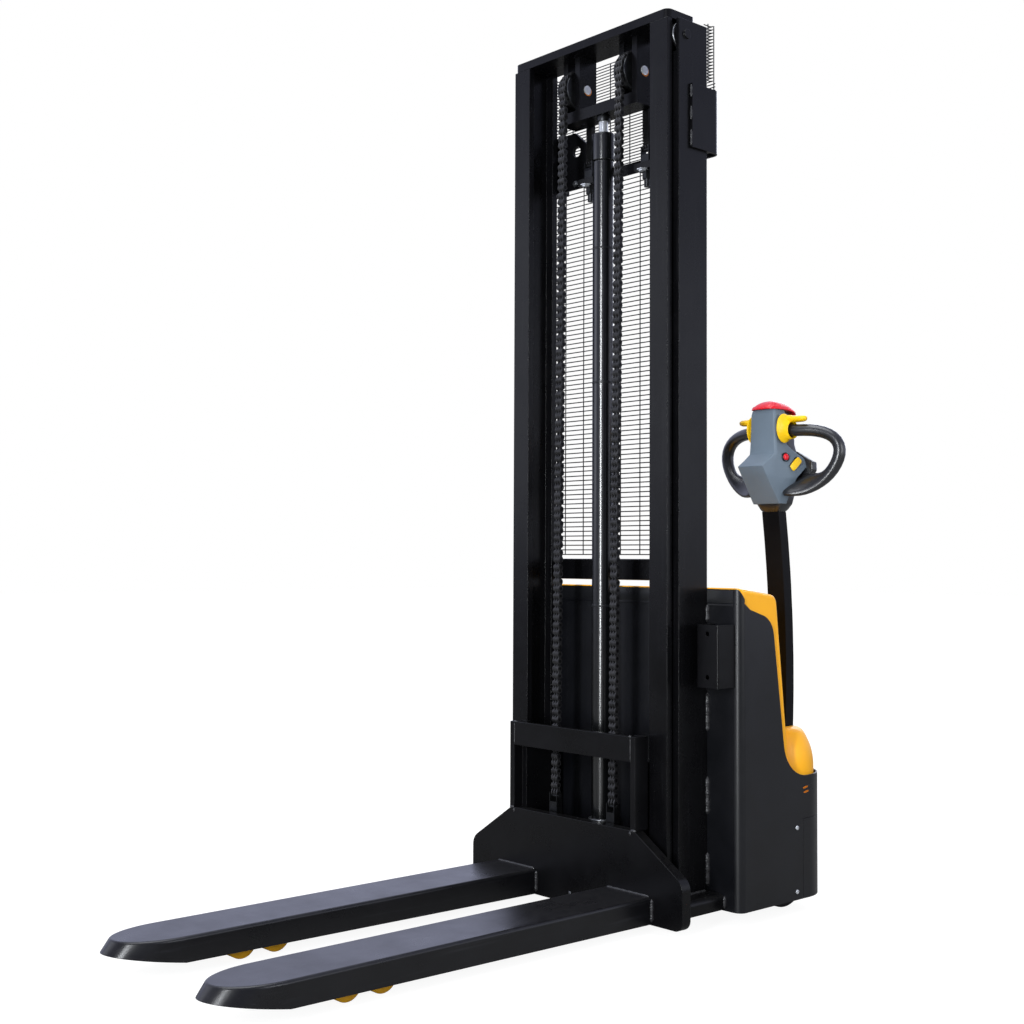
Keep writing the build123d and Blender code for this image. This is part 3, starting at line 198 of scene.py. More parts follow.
class Bench:
    """Modelling steps that every sub-assembly uses."""

    @staticmethod
    def clear() -> None:
        """Deselects every object."""
        bpy.ops.object.select_all(action="DESELECT")

    @staticmethod
    def take(piece: Piece) -> None:
        """Selects one piece alone and makes it active."""
        Bench.clear()
        piece.select_set(True)
        bpy.context.view_layer.objects.active = piece

    @staticmethod
    def named(name: str) -> Piece:
        """Names the active piece and its mesh, and gives it."""
        piece = bpy.context.object
        piece.name = piece.data.name = name
        return piece

    @staticmethod
    def settle(name: str) -> Piece:
        """Names the new piece and moves its place into its mesh."""
        bpy.ops.object.transform_apply(location=True, rotation=True, scale=True)
        return Bench.named(name)

    @staticmethod
    def rod(name: str, start: Vector, end: Vector, radius: float, sides: int) -> Piece:
        """A round bar between two points.

        Args:
            name: The piece's name.
            start: Middle of the first end.
            end: Middle of the second end.
            radius: The bar's radius.
            sides: Faces round the bar.

        Returns:
            The new piece.
        """
        run = end - start
        Bench.clear()
        bpy.ops.mesh.primitive_cylinder_add(
            vertices=sides,
            radius=radius,
            depth=run.length,
            location=(start + end) / 2,
            rotation=run.to_track_quat("Z", "Y").to_euler(),
        )
        return Bench.settle(name)

    @staticmethod
    def block(name: str, low: Vector, high: Vector) -> Piece:
        """A box between its lowest and highest corners.

        Args:
            name: The piece's name.
            low: Lowest corner.
            high: Highest corner.

        Returns:
            The new piece.
        """
        Bench.clear()
        bpy.ops.mesh.primitive_cube_add(size=1.0, location=(low + high) / 2)
        bpy.context.object.scale = high - low
        return Bench.settle(name)

    @staticmethod
    def tube(name: str, points: Sequence[Vector], radii: Sequence[float], sides: int) -> Piece:
        """A round bar along a line, whose thickness may change.

        Args:
            name: The piece's name.
            points: Points of the line.
            radii: Radius at each point.
            sides: Curve resolution round the bar.

        Returns:
            The new piece, as a mesh.
        """
        line = bpy.data.curves.new(name, "CURVE")
        line.dimensions = "3D"
        line.bevel_depth = 1.0
        line.bevel_resolution = sides
        line.use_fill_caps = True
        spline = line.splines.new("POLY")
        spline.points.add(len(points) - 1)
        for point, place, radius in zip(spline.points, points, radii):
            point.co = (*place, 1.0)
            point.radius = radius
        piece = bpy.data.objects.new(name, line)
        bpy.context.collection.objects.link(piece)
        Bench.take(piece)
        bpy.ops.object.convert(target="MESH")
        return Bench.named(name)

    @staticmethod
    def loft(name: str, rings: Sequence[Sequence[Vector]], hollow: bool = False) -> Piece:
        """A skin drawn through rings of points by extruding one into the next.

        Args:
            name: The piece's name.
            rings: Rings of equally many points, from the first end to the last.
            hollow: Whether the last ring meets the first, which leaves a hole through the piece.

        Returns:
            The new piece, closed all round.
        """
        count = len(rings[0])
        Bench.clear()
        bpy.ops.mesh.primitive_circle_add(vertices=count, fill_type="NGON")
        piece = Bench.settle(name)
        for point, place in zip(piece.data.vertices, rings[0]):
            point.co = place
        Bench.pick_faces(piece, lambda face: True)
        for before, ring in zip(rings, rings[1:]):
            bpy.ops.mesh.extrude_region_move()
            Bench.shut()
            for point in piece.data.vertices:
                if point.select:
                    gaps = [(place - point.co).length_squared for place in before]
                    point.co = ring[gaps.index(min(gaps))]
            bpy.ops.object.mode_set(mode="EDIT")
        if hollow:
            bpy.ops.mesh.delete(type="ONLY_FACE")
            Bench.shut()
            Bench.pick_faces(piece, lambda face: len(face.vertices) == count)
            bpy.ops.mesh.delete(type="ONLY_FACE")
        bpy.ops.mesh.select_all(action="SELECT")
        bpy.ops.mesh.remove_doubles(threshold=1e-6)
        bpy.ops.mesh.normals_make_consistent(inside=False)
        Bench.shut()
        return piece

    @staticmethod
    def stack(name: str, outline: Sequence[Place], layers: Iterable[Pair], hollow: bool = False) -> Piece:
        """A piece of layers about the origin, each a share of an outline in millimetres at a height."""
        rings = [[Vector((x * share, y * share, rise)) * MM for x, y, _ in outline] for share, rise in layers]
        return Bench.loft(name, rings, hollow)

    @staticmethod
    def pick_faces(piece: Piece, wanted: Callable[[bpy.types.MeshPolygon], bool]) -> None:
        """Opens a piece for editing with only the wanted faces selected.

        Args:
            piece: The piece to open.
            wanted: Tells whether a face is wanted.
        """
        Bench.take(piece)
        bpy.ops.object.mode_set(mode="EDIT")
        bpy.ops.mesh.select_mode(type="FACE")
        bpy.ops.mesh.select_all(action="DESELECT")
        Bench.shut()
        for face in piece.data.polygons:
            face.select = wanted(face)
        bpy.ops.object.mode_set(mode="EDIT")

    @staticmethod
    def shut() -> None:
        """Closes the piece that is open for editing."""
        bpy.ops.object.mode_set(mode="OBJECT")

    @staticmethod
    def attach(piece: Piece, name: str, kind: str, **settings: object) -> None:
        """Gives a piece a modifier with its settings."""
        modifier = piece.modifiers.new(name, kind)
        for label, value in settings.items():
            setattr(modifier, label, value)

    @staticmethod
    def modify(piece: Piece, kind: str, **settings: object) -> Piece:
        """Changes a piece by a modifier with its settings, applied.

        Args:
            piece: The piece to change.
            kind: The modifier's type.
            **settings: The modifier's settings.

        Returns:
            The same piece.
        """
        Bench.take(piece)
        Bench.attach(piece, kind.lower(), kind, **settings)
        bpy.ops.object.modifier_apply(modifier=kind.lower())
        return piece

    @staticmethod
    def ease(piece: Piece, width: float, segments: int = 2, angle: float = 30.0) -> Piece:
        """Rounds edges sharper than an angle by a width in millimetres, and shades the piece smooth."""
        limit = {"limit_method": "ANGLE", "angle_limit": math.radians(angle)}
        Bench.modify(piece, "BEVEL", width=width * MM, segments=segments, **limit)
        return Bench.smooth(piece)

    @staticmethod
    def smooth(piece: Piece, angle: float = 35.0) -> Piece:
        """Shades a piece smooth across edges flatter than an angle."""
        Bench.take(piece)
        bpy.ops.object.shade_smooth_by_angle(angle=math.radians(angle))
        return piece

    @staticmethod
    def round_off(piece: Piece) -> Piece:
        """Subdivides a piece once and shades it smooth."""
        return Bench.smooth(Bench.modify(piece, "SUBSURF", levels=1, render_levels=1), angle=60.0)

    @staticmethod
    def row(piece: Piece, count: int, step: Vector) -> Piece:
        """Repeats a piece in a row, joined to itself."""
        offset = {"use_relative_offset": False, "use_constant_offset": True, "constant_offset_displace": step}
        return Bench.modify(piece, "ARRAY", count=count, **offset)

    @staticmethod
    def join(name: str, pieces: Sequence[Piece]) -> Piece:
        """Joins pieces into one, under one name.

        Args:
            name: Name of the whole.
            pieces: The pieces, at least one.

        Returns:
            The whole.
        """
        Bench.clear()
        for piece in pieces:
            piece.select_set(True)
        bpy.context.view_layer.objects.active = pieces[0]
        if len(pieces) > 1:
            bpy.ops.object.join()
        return Bench.named(name)


class Effects:
    """Shader node groups that the finishes share, each built once."""

    MARK_START = 0.72
    MARK_FULL = 0.8
    _built: dict[str, Tree] = {}

    @classmethod
    def get(cls, name: str) -> Tree:
        """The node group of one effect, built at its first use."""
        if name not in cls._built:
            cls._built[name] = getattr(cls, f"_{name}")()
        return cls._built[name]

    @staticmethod
    def _open(name: str, inputs: dict[str, object], output: str) -> tuple[Tree, dict[str, Socket], Socket]:
        """Starts a group with its sockets.

        Args:
            name: The group's name.
            inputs: Default of each input, by name; a tuple makes a vector.
            output: Name of its one value output.

        Returns:
            The group, what its inputs give and what its output takes.
        """
        group = bpy.data.node_groups.new(name, "ShaderNodeTree")
        for label, default in inputs.items():
            kind = "NodeSocketVector" if isinstance(default, tuple) else "NodeSocketFloat"
            group.interface.new_socket(label, in_out="INPUT", socket_type=kind).default_value = default
        group.interface.new_socket(output, in_out="OUTPUT", socket_type="NodeSocketFloat")
        given = group.nodes.new("NodeGroupInput").outputs
        result = group.nodes.new("NodeGroupOutput").inputs[output]
        return group, {label: given[label] for label in inputs}, result

    @staticmethod
    def _noise(
        group: Tree, scale: Socket, detail: float, rough: float, stretch: Socket | None = None
    ) -> Socket:
        """A noise over the piece's own coordinates.

        Args:
            group: The group that it goes into.
            scale: Its cells per metre.
            detail: Its finer layers.
            rough: Weight of the finer layers.
            stretch: What the coordinates are multiplied by, if anything.

        Returns:
            The noise from 0 to 1.
        """
        place = add_node(group, "ShaderNodeTexCoord", {}).outputs["Object"]
        if stretch is not None:
            scaled = add_node(group, "ShaderNodeVectorMath", {0: place, 1: stretch}, operation="MULTIPLY")
            place = scaled.outputs[0]
        inputs = {"Vector": place, "Scale": scale, "Detail": detail, "Roughness": rough}
        return add_node(group, "ShaderNodeTexNoise", inputs).outputs["Fac"]

    @staticmethod
    def ramp(tree: Tree, value: Socket, low: object, high: object, onto: tuple = (0.0, 1.0)) -> Socket:
        """A value carried from one range onto another, and clamped."""
        labels = ("Value", "From Min", "From Max", "To Min", "To Max")
        inputs = dict(zip(labels, (value, low, high, *onto)))
        return add_node(tree, "ShaderNodeMapRange", inputs, clamp=True).outputs[0]

    @classmethod
    def _surface_grain(cls) -> Tree:
        """Fine orange peel of a coating or a moulded skin, as a height."""
        group, given, result = cls._open("surface_grain", {"Scale": 900.0}, "Height")
        group.links.new(cls._noise(group, given["Scale"], detail=2.0, rough=0.55), result)
        return group

    @classmethod
    def _tone_drift(cls) -> Tree:
        """Slow drift of a finish's tone, as a factor round one.

        Returns:
            The node group.
        """
        group, given, result = cls._open("tone_drift", {"Scale": 9.0, "Amount": 0.2}, "Factor")
        noise = cls._noise(group, given["Scale"], detail=4.0, rough=0.6)
        ends = tuple(calc(group, kind, 1.0, given["Amount"]) for kind in ("SUBTRACT", "ADD"))
        group.links.new(cls.ramp(group, noise, low=0.3, high=0.7, onto=ends), result)
        return group

    @classmethod
    def _rub_marks(cls) -> Tree:
        """Thin rubbed or wiped marks that run one way, as a mask.

        Returns:
            The node group.
        """
        inputs = {"Scale": 120.0, "Stretch": Way.UPRIGHT.value, "Cover": 0.2}
        group, given, result = cls._open("rub_marks", inputs, "Mask")
        noise = cls._noise(group, given["Scale"], detail=3.0, rough=0.5, stretch=given["Stretch"])
        low = calc(group, "SUBTRACT", cls.MARK_START, given["Cover"])
        group.links.new(cls.ramp(group, noise, low=low, high=cls.MARK_FULL), result)
        return group

    @classmethod
    def _settled_dust(cls) -> Tree:
        """Dust that settles on upward faces, as a mask.

        Returns:
            The node group.
        """
        group, given, result = cls._open("settled_dust", {"Scale": 60.0, "Amount": 0.2}, "Mask")
        noise = cls._noise(group, given["Scale"], detail=5.0, rough=0.65)
        patch = cls.ramp(group, noise, low=0.35, high=0.75)
        normal = add_node(group, "ShaderNodeNewGeometry", {}).outputs["Normal"]
        upward = add_node(group, "ShaderNodeSeparateXYZ", {0: normal}).outputs["Z"]
        both = calc(group, "MULTIPLY", cls.ramp(group, upward, low=0.35, high=0.95), patch)
        group.links.new(calc(group, "MULTIPLY", both, given["Amount"]), result)
        return group


@dataclass(frozen=True)
class Finish:
    """One surface finish, mixed from the shared effects.

    Args:
        slot: The record's material slot, or a variant's own name.
        colour: Linear base colour.
        roughness: Middle roughness.
        metallic: Whether it is bare metal.
        specular: Strength of the plain reflection.
        grain: Grain cells per metre.
        depth: Height of the grain in metres.
        drift: Share by which the tone drifts.
        drift_scale: Patches of drift per metre.
        marks: Weight of rub marks.
        mark_colour: Colour of a rub mark.
        mark_way: Which way the marks run.
        mark_scale: Marks per metre across their run.
        mark_cover: How much of the surface is marked.
        dust: Weight of settled dust.
    """

    slot: str
    colour: Colour
    roughness: float
    metallic: float = 0.0
    specular: float = 0.5
    grain: float = 900.0
    depth: float = 0.00004
    drift: float = 0.15
    drift_scale: float = 9.0
    marks: float = 0.0
    mark_colour: Colour = (0.2, 0.2, 0.2)
    mark_way: Way = Way.ANY
    mark_scale: float = 120.0
    mark_cover: float = 0.12
    dust: float = 0.0

    DUST_COLOUR = (0.20, 0.19, 0.18)
    DUST_ROUGHNESS = 0.5

    def build(self) -> bpy.types.Material:
        """Makes the material.

        Returns:
            The material, named after its slot.
        """
        material = bpy.data.materials.new(f"finish_{self.slot}")
        material.use_nodes = True
        tree = material.node_tree
        drift = self._effect(tree, "tone_drift", Scale=self.drift_scale, Amount=self.drift)
        colour = self._mix(tree, "MULTIPLY", 1.0, self.colour, drift)
        rough = calc(tree, "MULTIPLY", drift, self.roughness)
        if self.marks:
            run = {"Scale": self.mark_scale, "Stretch": self.mark_way.value, "Cover": self.mark_cover}
            weight = calc(tree, "MULTIPLY", self._effect(tree, "rub_marks", **run), self.marks)
            colour = self._mix(tree, "MIX", weight, colour, self.mark_colour)
        if self.dust:
            weight = self._effect(tree, "settled_dust", Amount=self.dust)
            colour = self._mix(tree, "MIX", weight, colour, self.DUST_COLOUR)
            rough = calc(tree, "ADD", calc(tree, "MULTIPLY", weight, self.DUST_ROUGHNESS), rough)
        grain = self._effect(tree, "surface_grain", Scale=self.grain)
        bump = add_node(tree, "ShaderNodeBump", {"Distance": self.depth, "Height": grain})
        feed(tree, tree.nodes["Principled BSDF"], {
            "Metallic": self.metallic,
            "Specular IOR Level": self.specular,
            "Base Color": colour,
            "Roughness": rough,
            "Normal": bump.outputs["Normal"],
        })
        return material

    @staticmethod
    def _effect(tree: Tree, name: str, **values: object) -> Socket:
        """Places a shared effect with its own values and gives its output."""
        node = add_node(tree, "ShaderNodeGroup", {}, node_tree=Effects.get(name))
        feed(tree, node, values)
        return node.outputs[0]

    @staticmethod
    def _mix(tree: Tree, blend: str, weight: object, first: object, second: object) -> Socket:
        """Mixes two colours or sockets by a weight."""
        first, second = ((*value, 1.0) if isinstance(value, tuple) else value for value in (first, second))
        inputs = {0: weight, 6: first, 7: second}
        return add_node(tree, "ShaderNodeMix", inputs, data_type="RGBA", blend_type=blend).outputs[2]


FINISHES = [
    Finish("frame_black", paint(9, 9, 11), 0.3, specular=0.2, depth=0.00005, drift=0.22, dust=0.03),
    Finish(
        "mast_black", paint(9, 9, 11), 0.27, specular=0.2, drift=0.2, dust=0.03,
        marks=0.04, mark_way=Way.UPRIGHT, mark_colour=paint(96, 98, 104),
    ),
    Finish(
        "fork_black", paint(11, 11, 14), 0.3, specular=0.42, drift=0.16, dust=0.04,
        marks=0.05, mark_way=Way.LENGTHWISE, mark_colour=paint(120, 122, 132),
    ),
    # Beads take a lighter black than the paint on them. This is painted sheen, added to the lamps' real
    # glints on their ripples.
    Finish(
        "weld_black", paint(40, 40, 42), 0.34, specular=0.45, grain=300, depth=0.0004,
        drift=0.4, drift_scale=90,
    ),
    Finish("cylinder_gloss", paint(9, 10, 11), 0.22, specular=0.8, depth=0.00002, drift=0.12, grain=1200),
    Finish("pulley_dark", paint(52, 53, 55), 0.34, metallic=0.9, grain=700, drift=0.3, drift_scale=40),
    Finish("guard_black", paint(11, 11, 13), 0.4, specular=0.3, drift=0.2),
    Finish("body_black", paint(10, 11, 15), 0.36, specular=0.42, depth=0.00005, drift=0.16, dust=0.03),
    Finish("bush_bronze", paint(214, 128, 46), 0.4, metallic=0.6, drift=0.2, drift_scale=40),
    # Orange of a slot's lit inside: painted light on a patch over the front half of each air slot.
    Finish("slot_shade", paint(176, 96, 10), 0.6, specular=0.2),
    Finish("cover_yellow", paint(255, 180, 18), 0.4, specular=0.4, grain=1400, drift=0.06, dust=0.03),
    Finish("black_plastic", paint(19, 20, 23), 0.32, specular=0.45, grain=1500, depth=0.00008, dust=0.05),
    Finish("loop_gloss", paint(26, 27, 30), 0.3, specular=0.8, grain=1500, depth=0.00006, dust=0.04),
    Finish("arm_black", paint(10, 10, 12), 0.5, specular=0.12, depth=0.00005, drift=0.2, dust=0.03),
    Finish("head_grey", paint(104, 118, 132), 0.5, specular=0.4, grain=1500, depth=0.00006, drift=0.08),
    Finish("switch_yellow", paint(255, 205, 10), 0.34, specular=0.45, grain=1600, drift=0.06),
    Finish("button_red", paint(216, 22, 38), 0.3, specular=0.5, grain=1600, depth=0.00002, drift=0.06),
    Finish(
        "chain_steel", paint(52, 52, 54), 0.4, metallic=0.5, grain=700, drift=0.4, drift_scale=40,
        marks=0.25, mark_scale=300, mark_colour=paint(110, 104, 96),
    ),
    Finish("roller_steel", paint(120, 121, 124), 0.36, metallic=1.0, grain=800, drift=0.25, drift_scale=30),
    Finish("zinc_steel", paint(132, 134, 137), 0.4, metallic=1.0, grain=500, drift=0.15, drift_scale=50),
    Finish(
        "rod_chrome", paint(208, 211, 216), 0.22, metallic=0.6, grain=1200, depth=0.00001, drift=0.08,
        marks=0.15, mark_way=Way.UPRIGHT, mark_colour=paint(120, 122, 126),
    ),
    Finish("roller_yellow", paint(206, 150, 18), 0.45, specular=0.4, drift=0.15, dust=0.1),
    Finish("drive_rubber", paint(26, 26, 27), 0.75, specular=0.25, grain=500, depth=0.0002, dust=0.15),
    Finish("cast_grey", paint(72, 74, 77), 0.62, specular=0.35, grain=350, depth=0.0003, drift=0.25),
    Finish("battery_case", paint(40, 42, 46), 0.5, specular=0.4, drift=0.15, dust=0.15),
]


class Paintshop:
    """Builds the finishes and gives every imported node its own."""

    EDGE_WIDTH = {"fork_black": 1.4, "head_grey": 2.0, "mast_black": 4.0, "body_black": 0.6}
    PLAIN_EDGE = 1.2
    NODE_FINISH = {
        "lift_cylinder": "cylinder_gloss",
        "cylinder_gland": "cylinder_gloss",
        "chain_pulleys": "pulley_dark",
        "carriage_chain_anchors": "pulley_dark",
        "tie_chain_anchors": "pulley_dark",
        "tiller_arm": "arm_black",
    }
    WELD_REACH = 0.00001
    FLAT = math.radians(1.0)
    SHARP = math.radians(40.0)
    EDGE_STEPS = 2
    FLAT_WEIGHT = 100

    def __init__(self, frame: dict) -> None:
        self.frame = frame
        self.made = {finish.slot: finish.build() for finish in FINISHES}

    def dress(self, piece: Piece, slot: str, body: str, finish: str | None = None) -> Piece:
        """Gives a new piece its finish and the body that it rides on.

        Args:
            piece: The new piece.
            slot: The record's slot that it takes its finish from.
            body: The body that it rides on.
            finish: A variant of that slot's finish, if it has one.

        Returns:
            The same piece.
        """
        self._coat(piece, finish or slot)
        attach(piece, body)
        LOG.info("piece %s rides on %s", piece.name, body)
        return piece

    def dress_nodes(self) -> None:
        """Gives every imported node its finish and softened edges."""
        for part in self.frame["record"]["subparts"]:
            node = self.frame["nodes"][part["node"]]
            slot = part["material_slot"]
            finish = self.NODE_FINISH.get(node.name, slot)
            self._coat(node, finish)
            self._soften(node, self.EDGE_WIDTH.get(slot, self.PLAIN_EDGE) * MM)
            LOG.info("node %s has finish %s", node.name, finish)

    def _coat(self, piece: Piece, finish: str) -> None:
        """Gives a piece one finish all over."""
        piece.data.materials.clear()
        piece.data.materials.append(self.made[finish])

    def _soften(self, node: Piece, width: float) -> None:
        """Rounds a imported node's sharp edges without touching its own mesh.

        Args:
            node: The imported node.
            width: Width of the rounding, in metres.
        """
        edge = {"segments": self.EDGE_STEPS, "limit_method": "ANGLE", "angle_limit": self.SHARP}
        Bench.attach(node, "merge", "WELD", merge_threshold=self.WELD_REACH)
        Bench.attach(node, "flatten", "DECIMATE", decimate_type="DISSOLVE", angle_limit=self.FLAT)
        Bench.attach(node, "edge", "BEVEL", width=width, **edge)
        Bench.attach(node, "shade", "WEIGHTED_NORMAL", weight=self.FLAT_WEIGHT)


@dataclass
class SubAssembly:
    """A group of pieces that are made together.

    Args:
        shop: Gives the finishes.
        datum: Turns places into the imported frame.
    """

    shop: Paintshop
    datum: Datum

    def build(self) -> None:
        """Makes the pieces."""
        raise NotImplementedError


@dataclass
class LiftChain(SubAssembly):
    """The two leaf chains: front runs, wraps over the pulleys and rear runs."""

    across: float = 105.0
    pitch: float = 19.0
    plate_depth: float = 15.5
    plate_thickness: float = 3.3
    plate_step: float = 4.6
    plate_arc: tuple[int, int, int] = (150, 391, 40)
    waist: float = 0.5
    pin_radius: float = 4.2
    pin_length: float = 23.0
    pin_sides: int = 8
    strap_depth: float = 15.0
    pulley_radius: float = 52.0
    stage_lift: float = 1650.0
    wrap_links: int = 9
    halvings: int = 40

    def build(self) -> None:
        """Makes both chains and takes their plain straps out of sight."""
        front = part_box("chain_front_strands")
        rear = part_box("chain_rear_strands")
        low, high = front[0].z / MM, front[1].z / MM
        foot_y = (front[0].y - self.datum.heel_y) / MM + self.strap_depth / 2
        top_y = (front[1].y - self.datum.heel_y) / MM - self.strap_depth / 2
        lean = Matrix.Identity(4)
        lean[1][2] = (top_y - foot_y) / (high - low)
        for side in Side:
            x = side.value * self.across
            tag = side.name.lower()
            run = self._run(f"chain_front_{tag}", high - low)
            run.data.transform(Matrix.Translation(self.datum.at(x, foot_y, low)) @ lean)
            self._dress(run, "inner_mast")
            self.datum.at(x, top_y, high)
            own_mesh(run)
            wrap = self._wrap(f"chain_wrap_{tag}", self.datum.at(x, top_y + self.pulley_radius, high))
            self._dress(wrap, "inner_mast")
            self._rear(f"chain_rear_{tag}", x, top_y + 2 * self.pulley_radius, rear[0].z / MM, high)
            if side is Side.LEFT:
                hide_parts("chain_front_strands")
                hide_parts("chain_rear_strands")

    def _plate(self, x: float, z: float, pitch: float) -> Piece:
        """One waisted link plate, standing along the chain.

        Args:
            x: Millimetres across from the chain's middle.
            z: Height of its lower pin.
            pitch: Height from its lower pin to its upper one.

        Returns:
            The new piece.
        """
        radius = self.plate_depth / 2
        outline = []
        for foot, turned, side in ((z, 0, 1), (z + pitch, 180, -1)):
            for turn in range(*self.plate_arc):
                angle = math.radians(turn - turned)
                outline.append((radius * math.cos(angle), foot + radius * math.sin(angle)))
            outline.append((side * radius * self.waist, z + pitch / 2))
        faces = [x - self.plate_thickness / 2, x + self.plate_thickness / 2]
        plate = Bench.loft("plate", [[Vector((face, y, up)) * MM for y, up in outline] for face in faces])
        plate.data.materials.append(self.shop.made["chain_steel"])
        return plate

    def _pin(self, z: float) -> Piece:
        """One chain pin across the plates.

        Args:
            z: Its height.

        Returns:
            The new piece.
        """
        half = ACROSS * (self.pin_length / 2 * MM)
        foot = UP * (z * MM)
        pin = Bench.rod("pin", foot - half, foot + half, self.pin_radius * MM, self.pin_sides)
        pin.data.materials.append(self.shop.made["guard_black"])
        return pin

    def _offsets(self, wide: bool) -> tuple[float, ...]:
        """Where the plates of a wide or a narrow link lie across the chain."""
        step = self.plate_step
        return (-2 * step, 0, 2 * step) if wide else (-step, step)

    def _run(self, name: str, length: float) -> Piece:
        """A straight run standing on the origin, two pitches to a pair of links.

        Args:
            name: The piece's name.
            length: Its length.

        Returns:
            The new piece.
        """
        pairs = round(length / (2 * self.pitch))
        pitch = length / (2 * pairs)
        links = [self._plate(x, 0, pitch) for x in self._offsets(True)]
        links += [self._plate(x, pitch, pitch) for x in self._offsets(False)]
        unit = Bench.join(name, links + [self._pin(0), self._pin(pitch)])
        return Bench.row(unit, pairs, UP * (2 * pitch * MM))

    def _wrap(self, name: str, centre: Vector) -> Piece:
        """The links that lie over a pulley, from its front round to its rear.

        Args:
            name: The piece's name.
            centre: The pulley's middle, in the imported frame.

        Returns:
            The new piece.
        """
        turn = math.pi / self.wrap_links
        chord = 2 * self.pulley_radius * math.sin(turn / 2)
        links = []
        for count in range(self.wrap_links):
            start = math.pi - count * turn
            place = Vector((0, math.cos(start), math.sin(start))) * self.pulley_radius * MM
            lean = Matrix.Rotation(-(count + 0.5) * turn, 4, "X")
            move = Matrix.Translation(centre + place) @ lean
            for piece in [self._plate(x, 0, chord) for x in self._offsets(count % 2 == 0)] + [self._pin(0)]:
                piece.data.transform(move)
                links.append(piece)
        return Bench.join(name, links)

    def _rear(self, name: str, x: float, y: float, low: float, high: float) -> None:
        """The run from the ledge to a pulley, its paid-out length laced up into its length at rest.

        Args:
            name: The piece's name.
            x: Millimetres from the mast's middle.
            y: Millimetres behind the heel.
            low: Where it leaves the ledge's clevis.
            high: Where it meets the pulley at rest.
        """
        rest = high - low
        full = rest + self.stage_lift
        run = self._run(name, full)
        for point in run.data.vertices:
            point.co.z = self._laced(point.co.z / MM, rest, full) * MM
        run.data.transform(Matrix.Translation(self.datum.at(x, y, low)))
        self._dress(run, None)
        self.datum.at(x, y, low)
        self.datum.at(x, y, high)
        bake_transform(run)
        LOG.info("piece %s bends from chassis to inner_mast", name)

    def _laced(self, height: float, rest: float, full: float) -> float:
        """Where a point of the paid-out run lies at rest.

        Args:
            height: The point's height in the paid-out run.
            rest: Length of the run at rest.
            full: Length of the run paid out.

        Returns:
            The point's height at rest.
        """
        if height <= 0:
            return height
        if height >= full:
            return height - full + rest
        low, high = 0.0, 1.0
        for _ in range(self.halvings):
            share = (low + high) / 2
            eased = share * share * (3 - 2 * share)
            if rest * share + self.stage_lift * eased < height:
                low = share
            else:
                high = share
        return rest * (low + high) / 2

    def _dress(self, piece: Piece, body: str | None) -> None:
        """Shades a chain piece and sets the body that it rides on.

        Args:
            piece: The piece.
            body: The body, or none for a piece that is given no body.
        """
        Bench.smooth(piece, angle=50.0)
        if body:
            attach(piece, body)
            LOG.info("piece %s rides on %s", piece.name, body)


@dataclass
class WireGuards(SubAssembly):
    """The two guards behind the mast, of round wires welded crosswise."""

    wire: float = 3.0
    upper_pitch: float = 8.3
    lower_pitch: float = 12.7
    upright_pitch: float = 71.0
    return_low: float = 2109.0
    return_depth: float = 27.0
    level_sides: int = 6
    upright_sides: int = 8
    bend_steps: int = 4
    facing: float = 0.9
    near: float = 1e-5

    def build(self) -> None:
        """Makes both guards."""
        self._guard("upper_guard", self.upper_pitch, self.return_low)
        self._guard("lower_guard", self.lower_pitch, None)

    def _guard(self, node: str, pitch: float, return_low: float | None) -> None:
        """One guard in the place of its packed sheet.

        Args:
            node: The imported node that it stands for.
            pitch: Height from wire to wire.
            return_low: Lowest height whose wires turn forward at their ends, if any do.
        """
        low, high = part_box(node)
        radius = self.wire / 2 * MM
        y = high.y - radius
        rows = round((high.z - low.z - self.wire * MM) / (pitch * MM)) + 1
        turned = math.floor((high.z - return_low * MM) / (pitch * MM)) if return_low else 0
        start, end = Vector((low.x, y, low.z + radius)), Vector((high.x, y, low.z + radius))
        wire = Bench.rod("rows", start, end, radius, self.level_sides)
        pieces = [Bench.row(wire, rows - turned, UP * (pitch * MM))]
        if turned:
            first = low.z + radius + (rows - turned) * pitch * MM
            pieces += self._turned_wires(low, high, y, first, turned, pitch)
        count = round((high.x - low.x) / (self.upright_pitch * MM)) + 1
        step = (high.x - low.x - self.wire * MM) / (count - 1)
        foot = Vector((low.x + radius, y - 2 * radius, low.z))
        upright = Bench.rod("uprights", foot, Vector((foot.x, foot.y, high.z)), radius, self.upright_sides)
        pieces.append(Bench.row(upright, count, ACROSS * step))
        guard = Bench.join(f"{node}_wires", pieces)
        Bench.smooth(guard, angle=60.0)
        self.shop.dress(guard, "guard_black", "chassis")
        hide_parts(node)

    def _turned_wires(
        self, low: Vector, high: Vector, y: float, z: float, count: int, pitch: float
    ) -> list[Piece]:
        """Level wires whose ends turn forward, with an upright at each turned end.

        Args:
            low: Lowest corner of the guard.
            high: Highest corner of the guard.
            y: Where the level wires lie, in metres.
            z: Height of the lowest one, in metres.
            count: How many there are.
            pitch: Height from wire to wire.

        Returns:
            The wires and the two uprights.
        """
        radius = self.wire / 2 * MM
        bend = 4 * radius
        start = Vector((low.x + bend + radius, y, z))
        end = Vector((high.x - bend - radius, y, z))
        wire = Bench.rod("turned", start, end, radius, self.level_sides)
        forward = -BACK * (self.return_depth * MM - bend)
        for sign, tip in ((1, end.x), (-1, start.x)):
            Bench.pick_faces(
                wire, lambda face: face.normal.x * sign > self.facing and abs(face.center.x - tip) < self.near
            )
            centre = (tip, y - bend, z)
            bpy.ops.mesh.spin(steps=self.bend_steps, angle=sign * math.pi / 2, center=centre, axis=(0, 0, -1))
            bpy.ops.mesh.extrude_region_move(TRANSFORM_OT_translate={"value": forward})
            Bench.shut()
        pieces = [Bench.row(wire, count, UP * (pitch * MM))]
        for x in (low.x + radius, high.x - radius):
            foot = Vector((x, y - self.return_depth * MM + radius, z - pitch / 2 * MM))
            top = Vector((foot.x, foot.y, high.z))
            pieces.append(Bench.rod("edge", foot, top, radius, self.upright_sides))
        return pieces


